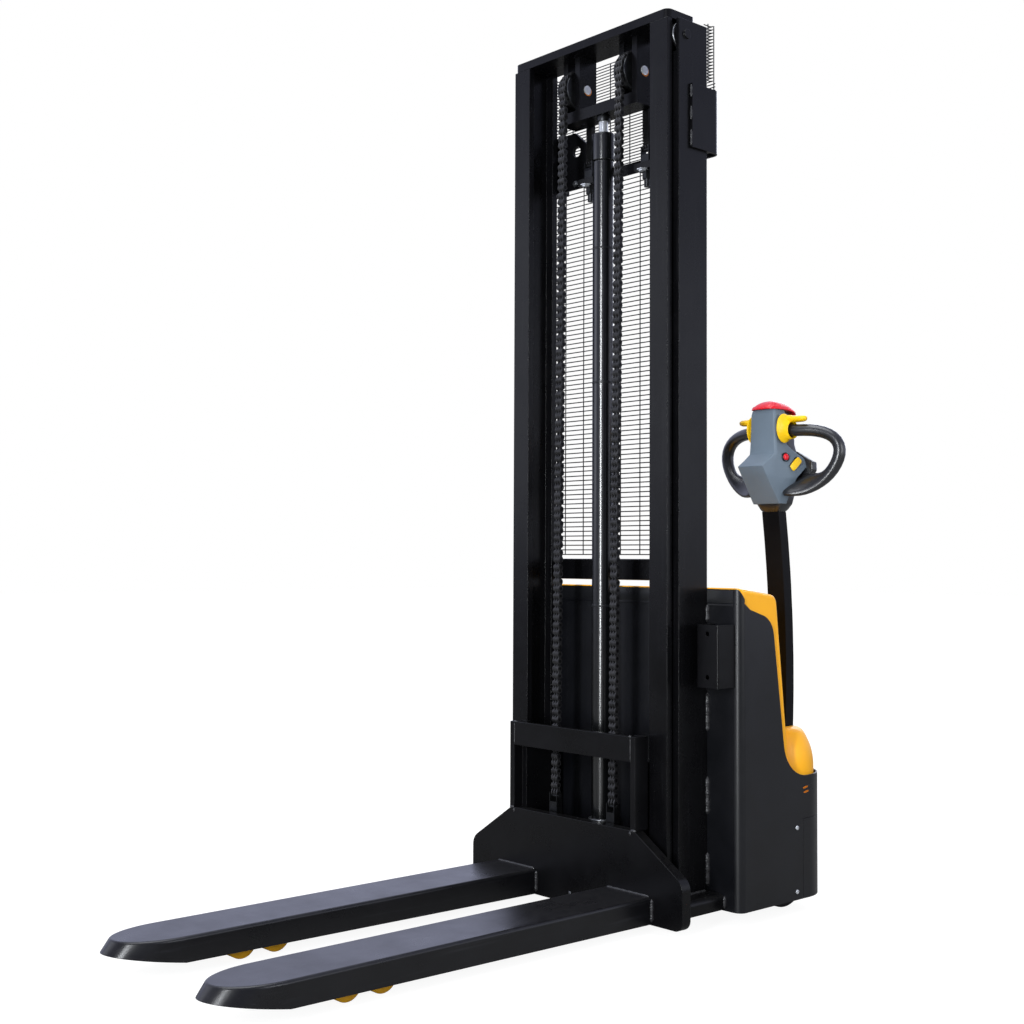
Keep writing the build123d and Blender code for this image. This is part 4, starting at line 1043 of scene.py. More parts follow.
@dataclass(frozen=True)
class ShellCut:
    """One level cut through the head's grey shell, in millimetres about its middle.

    Args:
        z: Height of the cut.
        corner: The front corner, across and back.
        ridge: The ridge behind the corner.
        cheek: Where the side ends at the black housing.
    """

    z: float
    corner: Pair
    ridge: Pair
    cheek: Pair

    BULGE = 3.2

    def ring(self) -> list[Place]:
        """The cut's outline, from its front middle round its left side and back.

        Returns:
            The points, across, back and up.
        """
        middle = tuple((near + far) / 2 for near, far in zip(self.ridge, self.cheek))
        side = [self.corner, self.ridge, middle, self.cheek]
        right = [(-x, y) for x, y in reversed(side)]
        outline = [(0.0, self.corner[1] - self.BULGE), *side, (0.0, self.cheek[1]), *right]
        return [(x, y, self.z) for x, y in outline]


@dataclass(frozen=True)
class Oval:
    """A rounded cut: its middle, its two half widths and how square it is.

    Args:
        middle: Across, back and up.
        wide: Half width along the first direction.
        deep: Half width along the second direction.
        square: 2 for an ellipse, more for squarer corners.
    """

    middle: Place
    wide: float
    deep: float
    square: float = 2.0

    @classmethod
    def series(cls, *cuts: tuple[float, ...], square: float = 2.0) -> tuple[Oval, ...]:
        """Cuts that are alike square, each given as its middle and its two half widths."""
        return tuple(cls(cut[:3], cut[3], cut[4], square) for cut in cuts)

    def ring(self, first: Vector, second: Vector, count: int) -> list[Place]:
        """The cut's outline along two directions.

        Args:
            first: Direction of its first half width.
            second: Direction of its second half width.
            count: Points round it.

        Returns:
            The points, across, back and up.
        """
        outline = []
        for step in range(count):
            turn = math.tau * step / count
            shares = (math.cos(turn), math.sin(turn))
            along, over = (math.copysign(abs(share) ** (2 / self.square), share) for share in shares)
            place = Vector(self.middle) + first * self.wide * along + second * self.deep * over
            outline.append(tuple(place))
        return outline


@dataclass
class TillerHead(SubAssembly):
    """The tiller's head: grey shell, black housing with its hand loops, switches and buttons."""

    across: float = 303.0
    shell_edge: float = 2.6
    core_edge: float = 2.2
    plate_edge: float = 4.0
    core_points: int = 20
    loop_points: int = 12
    switch_points: int = 16
    button_points: int = 24
    rim_z: float = 1293.0
    rim_fall: float = 12.0
    cap_half: float = 42.5
    cap_depth: float = 57.5
    cap_middle: float = 451.5
    cap_layers: tuple[tuple[float, float, float], ...] = (
        (0.3, 13.5, 7), (0.7, 13, 7), (0.89, 10, 7), (0.93, 1, 7), (0.97, 0, 5), (1.0, 1.6, 4),
        (0.96, 5, 4), (0.86, 11.5, 4), (0.7, 18, 4), (0.5, 22.6, 4), (0.28, 25.3, 4), (0.08, 26, 4),
    )
    facet: tuple[Place, ...] = ((45.0, 407.0, 1177.0), (73.0, 511.0, 1159.0), (48.0, 397.0, 1114.0))
    horn_place: Pair = (432.0, 1168.0)
    horn_radius: float = 8.6
    horn_bezel: tuple[Pair, ...] = ((1.4, -3), (1.4, 1.9), (1.3, 2.7), (1.24, 2.7), (1.22, -2))
    horn_dome: tuple[Pair, ...] = ((1.0, 2.7), (1.0, 3.6), (0.9, 4.8), (0.6, 5.6), (0.2, 6.0))
    rocker_place: Pair = (459.0, 1150.0)
    rocker_half: Pair = (20.5, 9.5)
    rocker_lean: float = 43.0
    rocker_square: float = 5.0
    rocker_seat: float = 4.0
    rocker_dish: float = 1.2
    rocker_frame: tuple[Pair, ...] = ((1.1, -3), (1.1, 0.4), (1.06, 0.8), (0.92, 0.8), (0.9, -2))
    rocker_pad: tuple[Pair, ...] = (
        (0.25, 3.0), (0.35, 3.4), (0.45, 4.2), (0.94, 4.5), (1.0, 5.0), (0.97, 6.2), (0.9, 7.0), (0.3, 7.4),
    )
    shell_cuts: tuple[ShellCut, ...] = (
        ShellCut(1295.5, (31, 408), (34.5, 411), (34.5, 449)),
        ShellCut(1290, (33, 405), (37, 408.5), (37, 450)),
        ShellCut(1280, (35, 403.4), (39.2, 407), (38.6, 451)),
        ShellCut(1203, (38.5, 403), (43, 407.5), (41.5, 453)),
        ShellCut(1190, (39.4, 403), (44, 407.7), (46, 470)),
        ShellCut(1177, (40.6, 402), (45, 407), (55, 486)),
        ShellCut(1159, (40.5, 376), (45, 404), (73, 511)),
        ShellCut(1143, (40.5, 351), (46, 401), (73, 494)),
        ShellCut(1114, (41, 371), (48, 397), (67, 462)),
        ShellCut(1084, (41.5, 392.5), (46, 407), (58, 452)),
        ShellCut(1062, (42.4, 408), (44.5, 415), (48, 450)),
        ShellCut(1047, (42.5, 418.5), (44, 422), (44, 448)),
    )
    core: tuple[Oval, ...] = Oval.series(
        (0, 472, 1290, 29, 19), (0, 472, 1274.5, 29, 19), (0, 473, 1274, 34, 24), (0, 474, 1268, 36, 26),
        (0, 475, 1204, 37.5, 27), (0, 478, 1178, 42, 32), (0, 470, 1120, 46, 44), (0, 456, 1066, 45.5, 36),
        (0, 454, 1047, 43.5, 31), (0, 452, 1033, 35, 23), (0, 451, 1026, 28, 17), square=4,
    )
    plate: tuple[Pair, ...] = (
        (0, 1192), (40, 1187), (91, 1157), (92, 1136), (74, 1110), (42, 1098), (0, 1098),
    )
    plate_middle: float = 1130.0
    plate_layers: tuple[Pair, ...] = ((494, 0.97), (496, 1.0), (511, 1.0), (518, 0.96), (521, 0.88))
    loop: tuple[Oval, ...] = Oval.series(
        (46, 445, 1238, 16.5, 16.5), (75, 450, 1238, 16.5, 16.5), (108, 462, 1237.5, 16.5, 16.5),
        (143, 475, 1231, 16.5, 16.5), (169, 482, 1217, 16.8, 16.8), (183, 484.5, 1196, 17.2, 17.2),
        (184.5, 484, 1172, 17.2, 17.2), (175, 481, 1146, 17.2, 17.2), (157, 477, 1121, 18, 17),
        (135, 474, 1107, 25, 17), (109, 472, 1100, 37, 17), (80, 470, 1096, 48, 17),
        (52, 466, 1090, 54, 16), (38, 465, 1088, 52, 14),
    )
    loop_leans: tuple[float, ...] = (22, 22, 22, 22, 22, 22, 22, 30, 44, 50, 48, 40, 24, 22)
    bell: tuple[Oval, ...] = Oval.series(
        (41, 445, 1239, 21.6, 21.6), (41, 444, 1239.5, 25, 25), (46, 437, 1241.5, 30, 28),
        (46.6, 432, 1243, 37.5, 31.5), (48.6, 431.5, 1243, 39.8, 33), (51.2, 432, 1243, 38.4, 31.8),
        (54, 436, 1242, 31.5, 27.6), (58, 440.5, 1240.5, 27.2, 25.8), (63, 445, 1239.2, 25, 24.6),
        (66.5, 447.3, 1238.8, 23.4, 23.2), (65.5, 447.3, 1238.8, 21.9, 21.9), (41, 445, 1239, 21.6, 21.6),
    )
    wing: tuple[Oval, ...] = Oval.series(
        (45.5, 444, 1268, 11, 10), (51, 445, 1268, 11, 12), (60, 446, 1267.5, 10.4, 14),
        (73, 447, 1266.5, 9, 15), (90, 447.5, 1266.2, 8.6, 15), (102, 447, 1266.5, 8.2, 12),
        (108, 446.5, 1267, 5.2, 6),
    )

    def build(self) -> None:
        """Makes the whole head and takes its plain solids out of sight."""
        self._shell()
        self._handle()
        self._butterfly()
        self._cap()
        self._horn()
        self._rocker()

    def _at(self, place: Sequence[float]) -> Vector:
        """A place about the tiller's middle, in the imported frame."""
        return self.datum.at(self.across + place[0], place[1], place[2])

    def _skin(
        self, name: str, rings: Iterable[Iterable[Place]], side: Side = Side.LEFT, hollow: bool = False
    ) -> Piece:
        """A skin through rings of left-hand places about the tiller's middle, set on one side."""
        placed = [[self._at((side.value * x, y, z)) for x, y, z in ring] for ring in rings]
        return Bench.loft(name, placed, hollow)

    def _shell(self) -> None:
        """The grey front shell with its flared cheeks and jutting brow."""
        shell = self._skin("head_shell", [cut.ring() for cut in self.shell_cuts])
        Bench.ease(shell, self.shell_edge, segments=3, angle=16.0)
        self.shop.dress(shell, "head_grey", "tiller")
        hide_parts("tiller_head_shell")

    def _handle(self) -> None:
        """The black housing, its rear plate and the two hand loops."""
        core = self._skin("core", [cut.ring(ACROSS, BACK, self.core_points) for cut in self.core])
        Bench.ease(core, self.core_edge, segments=3, angle=24.0)
        outline = list(self.plate) + [(-x, z) for x, z in reversed(self.plate[1:-1])]
        rings, middle = [], self.plate_middle
        for y, share in self.plate_layers:
            rings.append([(x * share, y, middle + (z - middle) * share) for x, z in outline])
        plate = self._skin("plate", rings)
        Bench.ease(plate, self.plate_edge, segments=3, angle=20.0)
        loops = [self._loop(side) for side in Side]
        handle = Bench.join("head_handle", [core, plate, *loops])
        self.shop.dress(handle, "black_plastic", "tiller", "loop_gloss")
        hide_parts("tiller_handle")

    def _loop(self, side: Side) -> Piece:
        """One hand loop, from its butterfly's bore round to the flat web under the head.

        Args:
            side: The side that it is on.

        Returns:
            The new piece.
        """
        middles = [Vector(cut.middle) for cut in self.loop]
        rings = []
        for index, (cut, lean) in enumerate(zip(self.loop, map(math.radians, self.loop_leans))):
            level = Vector((0, math.cos(lean), math.sin(lean)))
            before, after = middles[max(index - 1, 0)], middles[min(index + 1, len(middles) - 1)]
            run = (after - before).normalized()
            wide = (level - run * level.dot(run)).normalized()
            rings.append(cut.ring(wide, run.cross(wide), self.loop_points))
        return Bench.round_off(self._skin("loop", rings, side))

    def _butterfly(self) -> None:
        """Both thumb switches: an oval bell round each loop's root with a wing above it."""
        pieces = []
        for side in Side:
            for name, cuts, hollow in (("bell", self.bell, True), ("wing", self.wing, False)):
                rings = [cut.ring(UP, BACK, self.switch_points) for cut in cuts]
                pieces.append(Bench.round_off(self._skin(name, rings, side, hollow)))
        butterfly = Bench.join("head_butterfly", pieces)
        self.shop.dress(butterfly, "switch_yellow", "throttle")
        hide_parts("butterfly_switch")

    def _rim(self, y: float) -> float:
        """Height of the cap's rim, which falls off towards the operator."""
        behind = max(0.0, y - self.cap_middle) / self.cap_depth
        return self.rim_z - self.rim_fall * behind * behind

    def _cap(self) -> None:
        """The red lens over the head, hollow below."""
        rings = []
        for share, rise, square in self.cap_layers:
            cut = Oval((0, self.cap_middle, 0), self.cap_half * share, self.cap_depth * share, square)
            ring = cut.ring(ACROSS, BACK, self.button_points)
            rings.append([(x, y, self._rim(y) + rise) for x, y, _ in ring])
        cap = Bench.round_off(self._skin("head_cap", rings))
        self.shop.dress(cap, "button_red", "safety")
        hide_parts("safety_button")

    def _facet(self, place: Pair) -> Matrix:
        """A frame on the left cheek: X back along it, Y up along it, Z out of it.

        Args:
            place: Back and up.

        Returns:
            The frame at that place.
        """
        neck, rear, low = (Vector(corner) for corner in self.facet)
        out = (low - neck).cross(rear - neck).normalized()
        if out.x < 0:
            out.negate()
        y, z = place
        x = neck.x - (out.y * (y - neck.y) + out.z * (z - neck.z)) / out.x
        along = UP.cross(out).normalized()
        turn = Matrix((along, out.cross(along), out)).transposed().to_4x4()
        return Matrix.Translation(self._at((x, y, z))) @ turn

    def _horn(self) -> None:
        """The round red horn button in its dark bezel."""
        outline = Oval((0, 0, 0), self.horn_radius, self.horn_radius).ring(ACROSS, BACK, self.button_points)
        bezel = Bench.stack("horn_bezel", outline, self.horn_bezel)
        button = Bench.stack("horn_dome", outline, self.horn_dome)
        for piece, slot, body in ((bezel, "black_plastic", "tiller"), (button, "button_red", "horn")):
            piece.data.transform(self._facet(self.horn_place))
            self.shop.dress(Bench.smooth(piece, angle=40.0), slot, body)
        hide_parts("horn_button")

    def _rocker(self) -> None:
        """The yellow lift rocker, set aslant on the cheek in a dark frame."""
        oval = Oval((0, 0, 0), *self.rocker_half, self.rocker_square)
        outline = oval.ring(ACROSS, BACK, self.button_points)
        frame = Bench.stack("rocker_frame", outline, self.rocker_frame)
        rocker = Bench.stack("rocker_pad", outline, self.rocker_pad)
        for point in rocker.data.vertices:
            if point.co.z > self.rocker_seat * MM:
                point.co.z += self.rocker_dish * abs(point.co.x) / self.rocker_half[0]
        lean = Matrix.Rotation(math.radians(self.rocker_lean), 4, "Z")
        for piece, slot, body in ((frame, "black_plastic", "tiller"), (rocker, "switch_yellow", "rocker")):
            piece.data.transform(self._facet(self.rocker_place) @ lean)
            self.shop.dress(Bench.smooth(piece), slot, body)
        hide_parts("lift_rocker")


@dataclass(frozen=True)
class Bead:
    """One straight weld bead on each side, in millimetres from the mast's middle, the heel and the floor.

    Args:
        start: Its first end.
        end: Its last end.
        radius: Its middle radius.
        body: The body that it rides on.
        slot: The slot that it takes its finish from.
    """

    start: Place
    end: Place
    radius: float = 4.0
    body: str = "chassis"
    slot: str = "mast_black"


@dataclass
class Welds(SubAssembly):
    """Rippled weld beads where bars and sheets of the frame meet."""

    ripple: float = 2.6
    least_ripples: int = 6
    end_share: float = 0.35
    end_ripples: float = 3.0
    swell: Pair = (0.1, 2.4)
    wander: tuple[float, float, float] = (0.08, 0.7, 5.0)
    ridge: float = 0.12
    beads: tuple[Bead, ...] = (
        Bead((300, 187, 745), (300, 187, 788), 7),
        Bead((300, 187, 474), (300, 187, 569), 7),
        Bead((300, 187, 269), (300, 187, 361), 7),
        Bead((300, 187, 91), (300, 187, 173), 7),
        Bead((355, 186, 46), (355, 186, 76), 5, slot="frame_black"),
        Bead((300, 90, 80), (300, 180, 80), 4.5, slot="frame_black"),
        Bead((266, 81, 80), (299, 81, 80), 4, slot="frame_black"),
        Bead((304, 122, 1934), (304, 122, 1975), 3.4),
        Bead((304, 122, 2000), (304, 122, 2034), 3.4),
        Bead((304, 122, 2056), (304, 122, 2088), 3.4),
        Bead((134, 0, 89), (276, 0, 89), 3.6, "carriage", "fork_black"),
        Bead((125, 0, 30), (125, 0, 84), 5.4, "carriage", "fork_black"),
        Bead((285, 0, 30), (285, 0, 84), 5.4, "carriage", "fork_black"),
        Bead((214, 1.5, 238), (231, 1.5, 238), 4.2, "carriage", "frame_black"),
        Bead((213, 1.5, 224), (213, 1.5, 237), 4.0, "carriage", "frame_black"),
        Bead((213, 1.5, 406), (213, 1.5, 464), 2.2, "carriage", "frame_black"),
        Bead((206, 1.5, 466), (216, 1.5, 466), 3.0, "carriage", "frame_black"),
        Bead((205, 46, 238), (205, 30, 238), 3.5, "carriage", "frame_black"),
        Bead((140, 36, 77), (270, 36, 77), 4.0, slot="frame_black"),
        Bead((262, 199, 848), (262, 199, 900), 4.0),
        Bead((262, 197, 1932), (262, 197, 1956), 4.0),
    )

    def build(self) -> None:
        """Lays every bead, joined by body and slot."""
        groups: dict[tuple[str, str], list[Piece]] = {}
        for bead in self.beads:
            groups.setdefault((bead.body, bead.slot), []).extend(self._bead(bead, side) for side in Side)
        for (body, slot), pieces in groups.items():
            weld = Bench.join(f"welds_{body}_{slot}", pieces)
            # The beads' lighter colour is painted sheen.
            self.shop.dress(Bench.smooth(weld, angle=70.0), slot, body, "weld_black")

    def _bead(self, bead: Bead, side: Side) -> Piece:
        """One bead, swelling and pinching along its run.

        Args:
            bead: Where it runs and how thick it is.
            side: The side that it is on.

        Returns:
            The new piece.
        """
        start, end = (self.datum.at(side.value * x, y, z) for x, y, z in (bead.start, bead.end))
        count = max(self.least_ripples, round((end - start).length / (self.ripple * MM)))
        points = [start.lerp(end, step / count) for step in range(count + 1)]
        size, rate, phase = self.wander
        radii = []
        for step in range(count + 1):
            ends = min(1.0, self.end_share + min(step, count - step) / self.end_ripples)
            swell = 1.0 + self.swell[0] * math.sin(self.swell[1] * step)
            wander = size * math.sin(rate * step + phase * bead.start[2])
            radii.append(bead.radius * MM * ends * (swell + wander + self.ridge * (step % 2)))
        return Bench.tube("bead", points, radii, sides=1)


@dataclass(frozen=True)
class Screw:
    """One screw head on a face of the machine.

    Args:
        place: Its seat, in millimetres from the mast's middle, the heel and the floor.
        out: Direction it faces.
        radius: Radius of its head.
        body: The body that it rides on.
        hexagon: Whether the head is a hexagon on a washer; otherwise it is a pan with a socket.
        mirrored: Whether the other side has one too.
        finish: A finish of its own, where the slot's is not the right one.
    """

    place: Place
    out: Place
    radius: float = 5.0
    body: str = "chassis"
    hexagon: bool = False
    mirrored: bool = True
    finish: str | None = None


@dataclass
class Fasteners(SubAssembly):
    """Screws and bolts of the sheets, guards and carriage."""

    slot: str = "zinc_steel"
    hexagon_head: tuple[Pair, ...] = (
        (1.5, -0.8), (1.5, 1.2), (1.02, 1.3), (1.0, 4.6), (0.86, 5.4), (0.3, 5.4),
    )
    hexagon_sides: int = 6
    pan_head: tuple[Pair, ...] = ((1.0, -0.8), (1.0, 1.0), (0.9, 2.2), (0.7, 2.7), (0.42, 2.8), (0.36, 1.2))
    pan_sides: int = 16
    screws: tuple[Screw, ...] = (
        Screw((2.5, 0, 49), (0, -1, 0), 4.6, "carriage", mirrored=False),
        Screw((405, 411, 222), (1, 0, 0), 5.6, finish="rod_chrome"),
        Screw((405, 411, 61), (1, 0, 0), 5.6, finish="rod_chrome"),
        Screw((120, 564, 222), (0, 1, 0), 5.6, finish="rod_chrome"),
        Screw((120, 564, 61), (0, 1, 0), 5.6, finish="rod_chrome"),
        Screw((105, 158, 1922), (0, 0, -1), 10.5, hexagon=True, finish="rod_chrome"),
        Screw((177, 187, 1944), (0, -1, 0), 6.5, hexagon=True),
        Screw((250, 199, 862), (0, 1, 0), 7.0, hexagon=True),
        Screw((250, 199, 888), (0, 1, 0), 7.0, hexagon=True),
        Screw((250, 197, 1944), (0, 1, 0), 7.0, hexagon=True),
    )

    def build(self) -> None:
        """Sets every screw, joined by body and finish."""
        groups: dict[tuple[str, str | None], list[Piece]] = {}
        for screw in self.screws:
            for side in Side if screw.mirrored else (Side.LEFT,):
                groups.setdefault((screw.body, screw.finish), []).append(self._screw(screw, side))
        for (body, finish), pieces in groups.items():
            whole = Bench.join(f"screws_{body}_{finish or self.slot}", pieces)
            self.shop.dress(Bench.smooth(whole, angle=40.0), self.slot, body, finish)

    def _screw(self, screw: Screw, side: Side) -> Piece:
        """One screw head with its washer or socket, facing out of its seat.

        Args:
            screw: Where it sits and what head it has.
            side: The side that it is on.

        Returns:
            The new piece.
        """
        layers, sides = self.pan_head, self.pan_sides
        if screw.hexagon:
            layers, sides = self.hexagon_head, self.hexagon_sides
        outline = Oval((0, 0, 0), screw.radius, screw.radius).ring(ACROSS, BACK, sides)
        head = Bench.stack("screw", outline, layers)
        x, y, z = screw.place
        out = Vector((side.value * screw.out[0], screw.out[1], screw.out[2]))
        turn = out.to_track_quat("Z", "Y").to_matrix().to_4x4()
        head.data.transform(Matrix.Translation(self.datum.at(side.value * x, y, z)) @ turn)
        return head


@dataclass(frozen=True)
class Collar:
    """A ring about the lift cylinder's axis, in millimetres.

    Args:
        foot: Height of its foot.
        inner: Radius of its bore.
        wall: Thickness of its wall.
        height: Its height.
        edge: Rounding of its edges.
    """

    foot: float
    inner: float
    wall: float
    height: float
    edge: float


@dataclass
class MastTrim(SubAssembly):
    """Rings on the lift cylinder, the nut on its rod and the ends of the pulley pins."""

    lift_y: float = 118.0
    ring_sides: int = 40
    bands: tuple[Collar, ...] = tuple(Collar(foot, 27.0, 1.6, 6.0, 0.5) for foot in (1719.0, 1363.0, 776.0))
    collar: Collar = Collar(219.0, 27.0, 9.0, 7.0, 1.2)
    wiper: Collar = Collar(2028.5, 13.2, 4.0, 3.4, 0.8)
    nut: Collar = Collar(2062.0, 12.6, 5.6, 14.6, 1.0)
    pulley_y: float = 123.0
    pulley_z: float = 2165.0
    yoke_middle: float = 105.0
    yoke_ends: Pair = (143.0, 67.0)
    pin_end: tuple[float, float, float] = (0.0, 3.0, 12.2)
    pin_bush: tuple[float, float, float] = (2.6, 1.0, 13.6)
    disc_edge: float = 0.4
    disc_sides: int = 32

    def build(self) -> None:
        """Makes the rings, the nut and the pin ends."""
        for name, rings, *dress in (
            ("cylinder_bands", self.bands, "black_plastic", "chassis"),
            ("cylinder_collar", (self.collar,), "zinc_steel", "chassis"),
            ("cylinder_wiper", (self.wiper,), "black_plastic", "chassis"),
            ("rod_nut", (self.nut,), "rod_chrome", "inner_mast", "pulley_dark"),
        ):
            whole = Bench.join(name, [self._ring(ring) for ring in rings])
            self.shop.dress(Bench.ease(whole, rings[0].edge), *dress)
        for name, disc, finish in (
            ("pin_ends", self.pin_end, "rod_chrome"),
            ("pin_bushes", self.pin_bush, "bush_bronze"),
        ):
            trim = Bench.join(name, [self._disc(side, x, *disc) for side in Side for x in self.yoke_ends])
            self.shop.dress(Bench.smooth(trim, angle=40.0), "zinc_steel", "inner_mast", finish)

    def _ring(self, ring: Collar) -> Piece:
        """A ring round the lift cylinder's axis.

        Args:
            ring: Its height and sizes.

        Returns:
            The new piece.
        """
        inner, outer, top = ring.inner, ring.inner + ring.wall, ring.height
        outline = Oval((0, 0, 0), 1.0, 1.0).ring(ACROSS, BACK, self.ring_sides)
        layers = ((inner, 0), (outer, 0), (outer, top), (inner, top), (inner, 0))
        piece = Bench.stack("ring", outline, layers, hollow=True)
        piece.data.transform(Matrix.Translation(self.datum.at(0, self.lift_y, ring.foot)))
        return piece

    def _disc(self, side: Side, x: float, shift: float, height: float, radius: float) -> Piece:
        """A disc on the end of one pulley pin.

        Args:
            side: The chain's side.
            x: Millimetres from the mast's middle to the yoke's face.
            shift: How far the disc sits back and down from the pin's axis.
            height: How far it stands off the face.
            radius: Its radius.

        Returns:
            The new piece.
        """
        outward = math.copysign(height * MM, x - self.yoke_middle)
        start = self.datum.at(side.value * x, self.pulley_y + shift, self.pulley_z - shift / 2)
        end = start + ACROSS * (side.value * outward)
        return Bench.ease(Bench.rod("disc", start, end, radius * MM, self.disc_sides), self.disc_edge)


@dataclass
class BodyTrim(SubAssembly):
    """Small things on the body: painted shade and light of the air slots, the lid over the front and its lip.
    """

    slots: tuple[Pair, ...] = ((456.0, 323.0), (459.0, 311.5))
    slot_size: Pair = (40.0, 5.0)
    slot_square: float = 3.0
    slot_points: int = 16
    slot_lean: float = 10.0
    slot_stand: float = 0.3
    slot_sink: float = 0.4
    # Share and stand of the orange patches, the painted light of each slot's lit inside.
    glow_share: float = 0.5
    glow_stand: float = 0.5
    body_half: float = 405.0
    body_front: float = 187.0
    lid: Pair = (794.0, 827.0)
    lip: Pair = (786.0, 791.5)
    lid_half: float = 382.0
    lid_stand: float = 0.8
    lid_sink: float = 0.4
    lid_edge: float = 0.5

    def build(self) -> None:
        """Makes the slots' painted shade and light, the lid and the lip."""
        # Black patches paint the shade inside each air slot. Orange patches over their front halves paint its
        # lit inside.
        for name, share, stand, slot, finish in (
            ("painted_shade_slots", 1.0, self.slot_stand, "black_plastic", None),
            ("painted_light_slots", self.glow_share, self.glow_stand, "cover_yellow", "slot_shade"),
        ):
            slots = [self._slot(side, place, share, stand) for side in Side for place in self.slots]
            self.shop.dress(Bench.join(name, slots), slot, "chassis", finish)
        front, back = self.body_front - self.lid_stand, self.body_front + self.lid_sink
        for name, (foot, top), slot in (
            ("front_lid", self.lid, "black_plastic"),
            ("front_lip", self.lip, "body_black"),
        ):
            low, high = self.datum.at(-self.lid_half, front, foot), self.datum.at(self.lid_half, back, top)
            self.shop.dress(Bench.ease(Bench.block(name, low, high), self.lid_edge), slot, "chassis")

    def _slot(self, side: Side, place: Pair, share: float, stand: float) -> Piece:
        """One slanting patch with round ends, a hair proud of its sheet: painted slot shade when black,
        painted light when orange.

        Args:
            side: The body's side.
            place: Millimetres back from the heel and up from the floor to its middle.
            share: Share of its length, from the front end, that the piece covers.
            stand: How far the piece stands off the sheet.

        Returns:
            The new piece.
        """
        length, width = self.slot_size
        back = BACK * ((share - 1) * length / 2)
        oval = Oval((0, 0, 0), share * length / 2, width / 2, self.slot_square)
        ring = oval.ring(BACK, UP, self.slot_points)
        lean = Matrix.Rotation(math.radians(self.slot_lean), 4, "X")
        middle = self.datum.at(side.value * self.body_half, *place)
        rings = []
        for lift in (-self.slot_sink, stand):
            out = ACROSS * (side.value * lift * MM)
            rings.append([middle + out + lean @ ((Vector(point) + back) * MM) for point in ring])
        return Bench.loft("slot", rings)


@dataclass(frozen=True)
class Lamp:
    """A soft box.

    Args:
        name: Its name.
        place: Where it stands, in metres.
        aim: What it looks at, in metres.
        size: Its width and height, in metres.
        power: Its power in watts.
    """

    name: str
    place: Place
    aim: Place
    size: Pair
    power: float


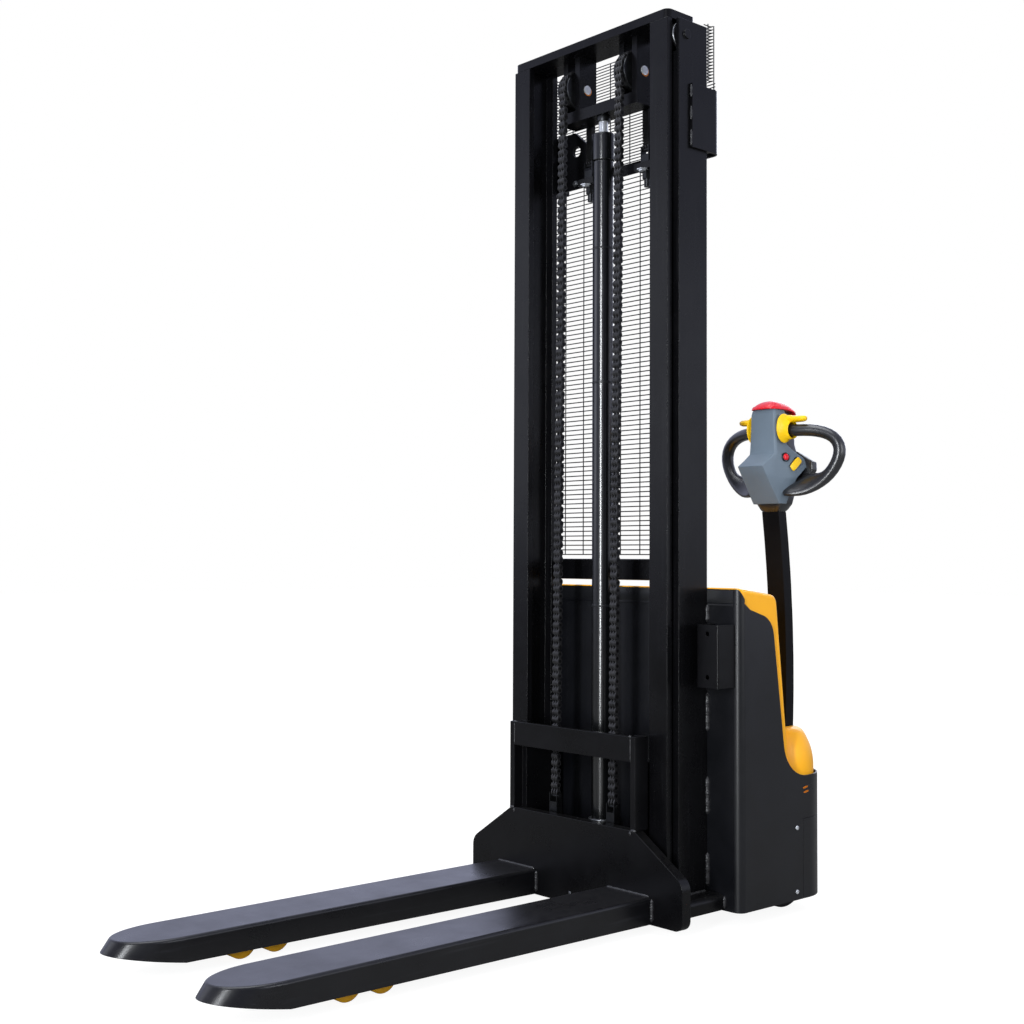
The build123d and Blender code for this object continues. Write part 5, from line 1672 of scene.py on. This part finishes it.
@dataclass
class Stage:
    """Floor, light and camera.

    Args:
        datum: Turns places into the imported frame.
    """

    datum: Datum
    picture: float = 1024.0
    focal: float = 1407.16
    middle: Pair = (511.5, 510.0)
    eye: Place = (2611.3, -2519.6, 903.2)
    azimuth: float = 48.42
    elevation: float = -1.95
    roll: float = 0.25
    sensor: float = 36.0
    floor_size: float = 60.0
    floor_colour: tuple[float, ...] = (0.22, 0.22, 0.22, 1.0)
    floor_roughness: float = 0.9
    floor_seen: float = 0.91
    floor_gloss: float = 0.05
    lamps: tuple[Lamp, ...] = (
        Lamp("overhead", (-0.3, -0.6, 4.8), (0.0, -0.2, 0.4), (3.2, 3.2), 130.0),
        Lamp("left_box", (4.6, 0.6, 2.0), (0.0, 0.1, 1.0), (2.2, 2.2), 55.0),
        Lamp("side_card", (4.6, 4.0, 1.7), (0.0, 0.2, 1.1), (3.4, 2.4), 16.0),
        Lamp("front_box", (-3.4, -3.4, 2.2), (0.0, 0.0, 0.9), (2.4, 2.4), 18.0),
        Lamp("rear_box", (-1.2, 4.4, 2.8), (0.0, 0.2, 1.0), (2.4, 2.4), 70.0),
        Lamp("strip", (1.9, -4.3, 1.5), (0.0, 0.2, 1.2), (0.4, 3.0), 210.0),
    )
    lamp_colour: Colour = (0.94, 0.97, 1.0)
    ambient: float = 0.6
    gloss_colour: tuple[float, ...] = (0.7, 0.74, 1.0, 1.0)
    gloss_range: Pair = (0.3, 1.15)
    backdrop_way: Place = (-0.743, 0.669, 0.0)

    def build(self) -> None:
        """Sets the stage."""
        scene = bpy.context.scene
        scene.view_settings.view_transform = "Standard"
        self._floor()
        self._world(scene)
        for lamp in self.lamps:
            self._lamp(lamp)
        self._camera(scene)

    def _floor(self) -> None:
        """A pale floor that keeps the shadow and runs out to white."""
        Bench.clear()
        bpy.ops.mesh.primitive_plane_add(size=self.floor_size)
        floor = Bench.settle("floor")
        material = bpy.data.materials.new("pale_floor")
        material.use_nodes = True
        tree = material.node_tree
        feed(tree, tree.nodes["Principled BSDF"], {
            "Base Color": self.floor_colour,
            "Roughness": self.floor_roughness,
            "Specular IOR Level": 0.0,
            "Emission Color": WHITE,
            "Emission Strength": self._lit(tree, self.floor_seen, self.floor_gloss),
        })
        floor.data.materials.append(material)

    @staticmethod
    def _lit(tree: Tree, seen: float, gloss: float) -> Socket:
        """A strength that depends on what looks, and is none for all other rays.

        Args:
            tree: The tree that it goes into.
            seen: Strength for the camera.
            gloss: Strength for a gloss or a clear part.

        Returns:
            The strength.
        """
        path = add_node(tree, "ShaderNodeLightPath", {}).outputs
        total = calc(tree, "MULTIPLY", path["Is Camera Ray"], seen)
        for name in ("Is Glossy Ray", "Is Transmission Ray"):
            total = calc(tree, "MAXIMUM", total, calc(tree, "MULTIPLY", path[name], gloss))
        return total

    def _world(self, scene: bpy.types.Scene) -> None:
        """White where the camera looks, shaded where a gloss looks, and dimmer as a light.

        Args:
            scene: The scene that it lights.
        """
        world = bpy.data.worlds.new("studio")
        world.use_nodes = True
        tree = world.node_tree
        ambient = tree.nodes["Background"]
        feed(tree, ambient, {"Color": WHITE, "Strength": self.ambient})
        surface = ambient.outputs[0]
        for colour, strength, seen, gloss in (
            (WHITE, 1.0, 1.0, 0.0),
            (self.gloss_colour, self._shade(tree), 0.0, 1.0),
        ):
            backdrop = add_node(tree, "ShaderNodeBackground", {"Color": colour, "Strength": strength})
            mix = {0: self._lit(tree, seen, gloss), 1: surface, 2: backdrop.outputs[0]}
            surface = add_node(tree, "ShaderNodeMixShader", mix).outputs[0]
        feed(tree, tree.nodes["World Output"], {"Surface": surface})
        scene.world = world

    def _shade(self, tree: Tree) -> Socket:
        """A strength that is high towards the backdrop and low towards the open front of the studio.

        Args:
            tree: The tree that it goes into.

        Returns:
            The strength.
        """
        way = add_node(tree, "ShaderNodeTexCoord", {}).outputs["Generated"]
        inputs = {0: way, 1: self.backdrop_way}
        along = add_node(tree, "ShaderNodeVectorMath", inputs, operation="DOT_PRODUCT").outputs["Value"]
        return Effects.ramp(tree, along, low=-1.0, high=1.0, onto=self.gloss_range)

    def _lamp(self, lamp: Lamp) -> None:
        """Hangs one soft box.

        Args:
            lamp: Its place, aim, size and power.
        """
        light = bpy.data.lights.new(lamp.name, "AREA")
        light.shape = "RECTANGLE"
        light.size, light.size_y = lamp.size
        light.energy = lamp.power
        light.color = self.lamp_colour
        box = bpy.data.objects.new(lamp.name, light)
        bpy.context.collection.objects.link(box)
        box.location = lamp.place
        box.rotation_euler = (Vector(lamp.aim) - Vector(lamp.place)).to_track_quat("-Z", "Y").to_euler()

    def _camera(self, scene: bpy.types.Scene) -> None:
        """The camera at the photograph's place.

        Args:
            scene: The scene that it looks at.
        """
        data = bpy.data.cameras.new("camera")
        data.sensor_width = self.sensor
        data.lens = self.focal / self.picture * self.sensor
        half = self.picture / 2
        data.shift_x = (half - self.middle[0]) / self.picture
        data.shift_y = (self.middle[1] - half) / self.picture
        camera = bpy.data.objects.new("camera", data)
        bpy.context.collection.objects.link(camera)
        around, up = math.radians(self.azimuth), math.radians(self.elevation)
        back = Vector((math.sin(around) * math.cos(up), -math.cos(around) * math.cos(up), math.sin(up)))
        aim = (-back).to_track_quat("-Z", "Y").to_matrix().to_4x4()
        turn = Matrix.Rotation(math.radians(self.roll), 4, "Z")
        camera.matrix_world = Matrix.Translation(self.datum.at(*self.eye)) @ aim @ turn
        scene.camera = camera


def main() -> None:
    """Builds every sub-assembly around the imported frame."""
    logging.basicConfig(level=logging.INFO, format="%(name)s: %(message)s")
    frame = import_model()
    datum = Datum.from_frame()
    shop = Paintshop(frame)
    shop.dress_nodes()
    for assembly in (LiftChain, WireGuards, TillerHead, Welds, Fasteners, MastTrim, BodyTrim):
        assembly(shop, datum).build()
    Stage(datum).build()


if __name__ == "__main__":
    main()
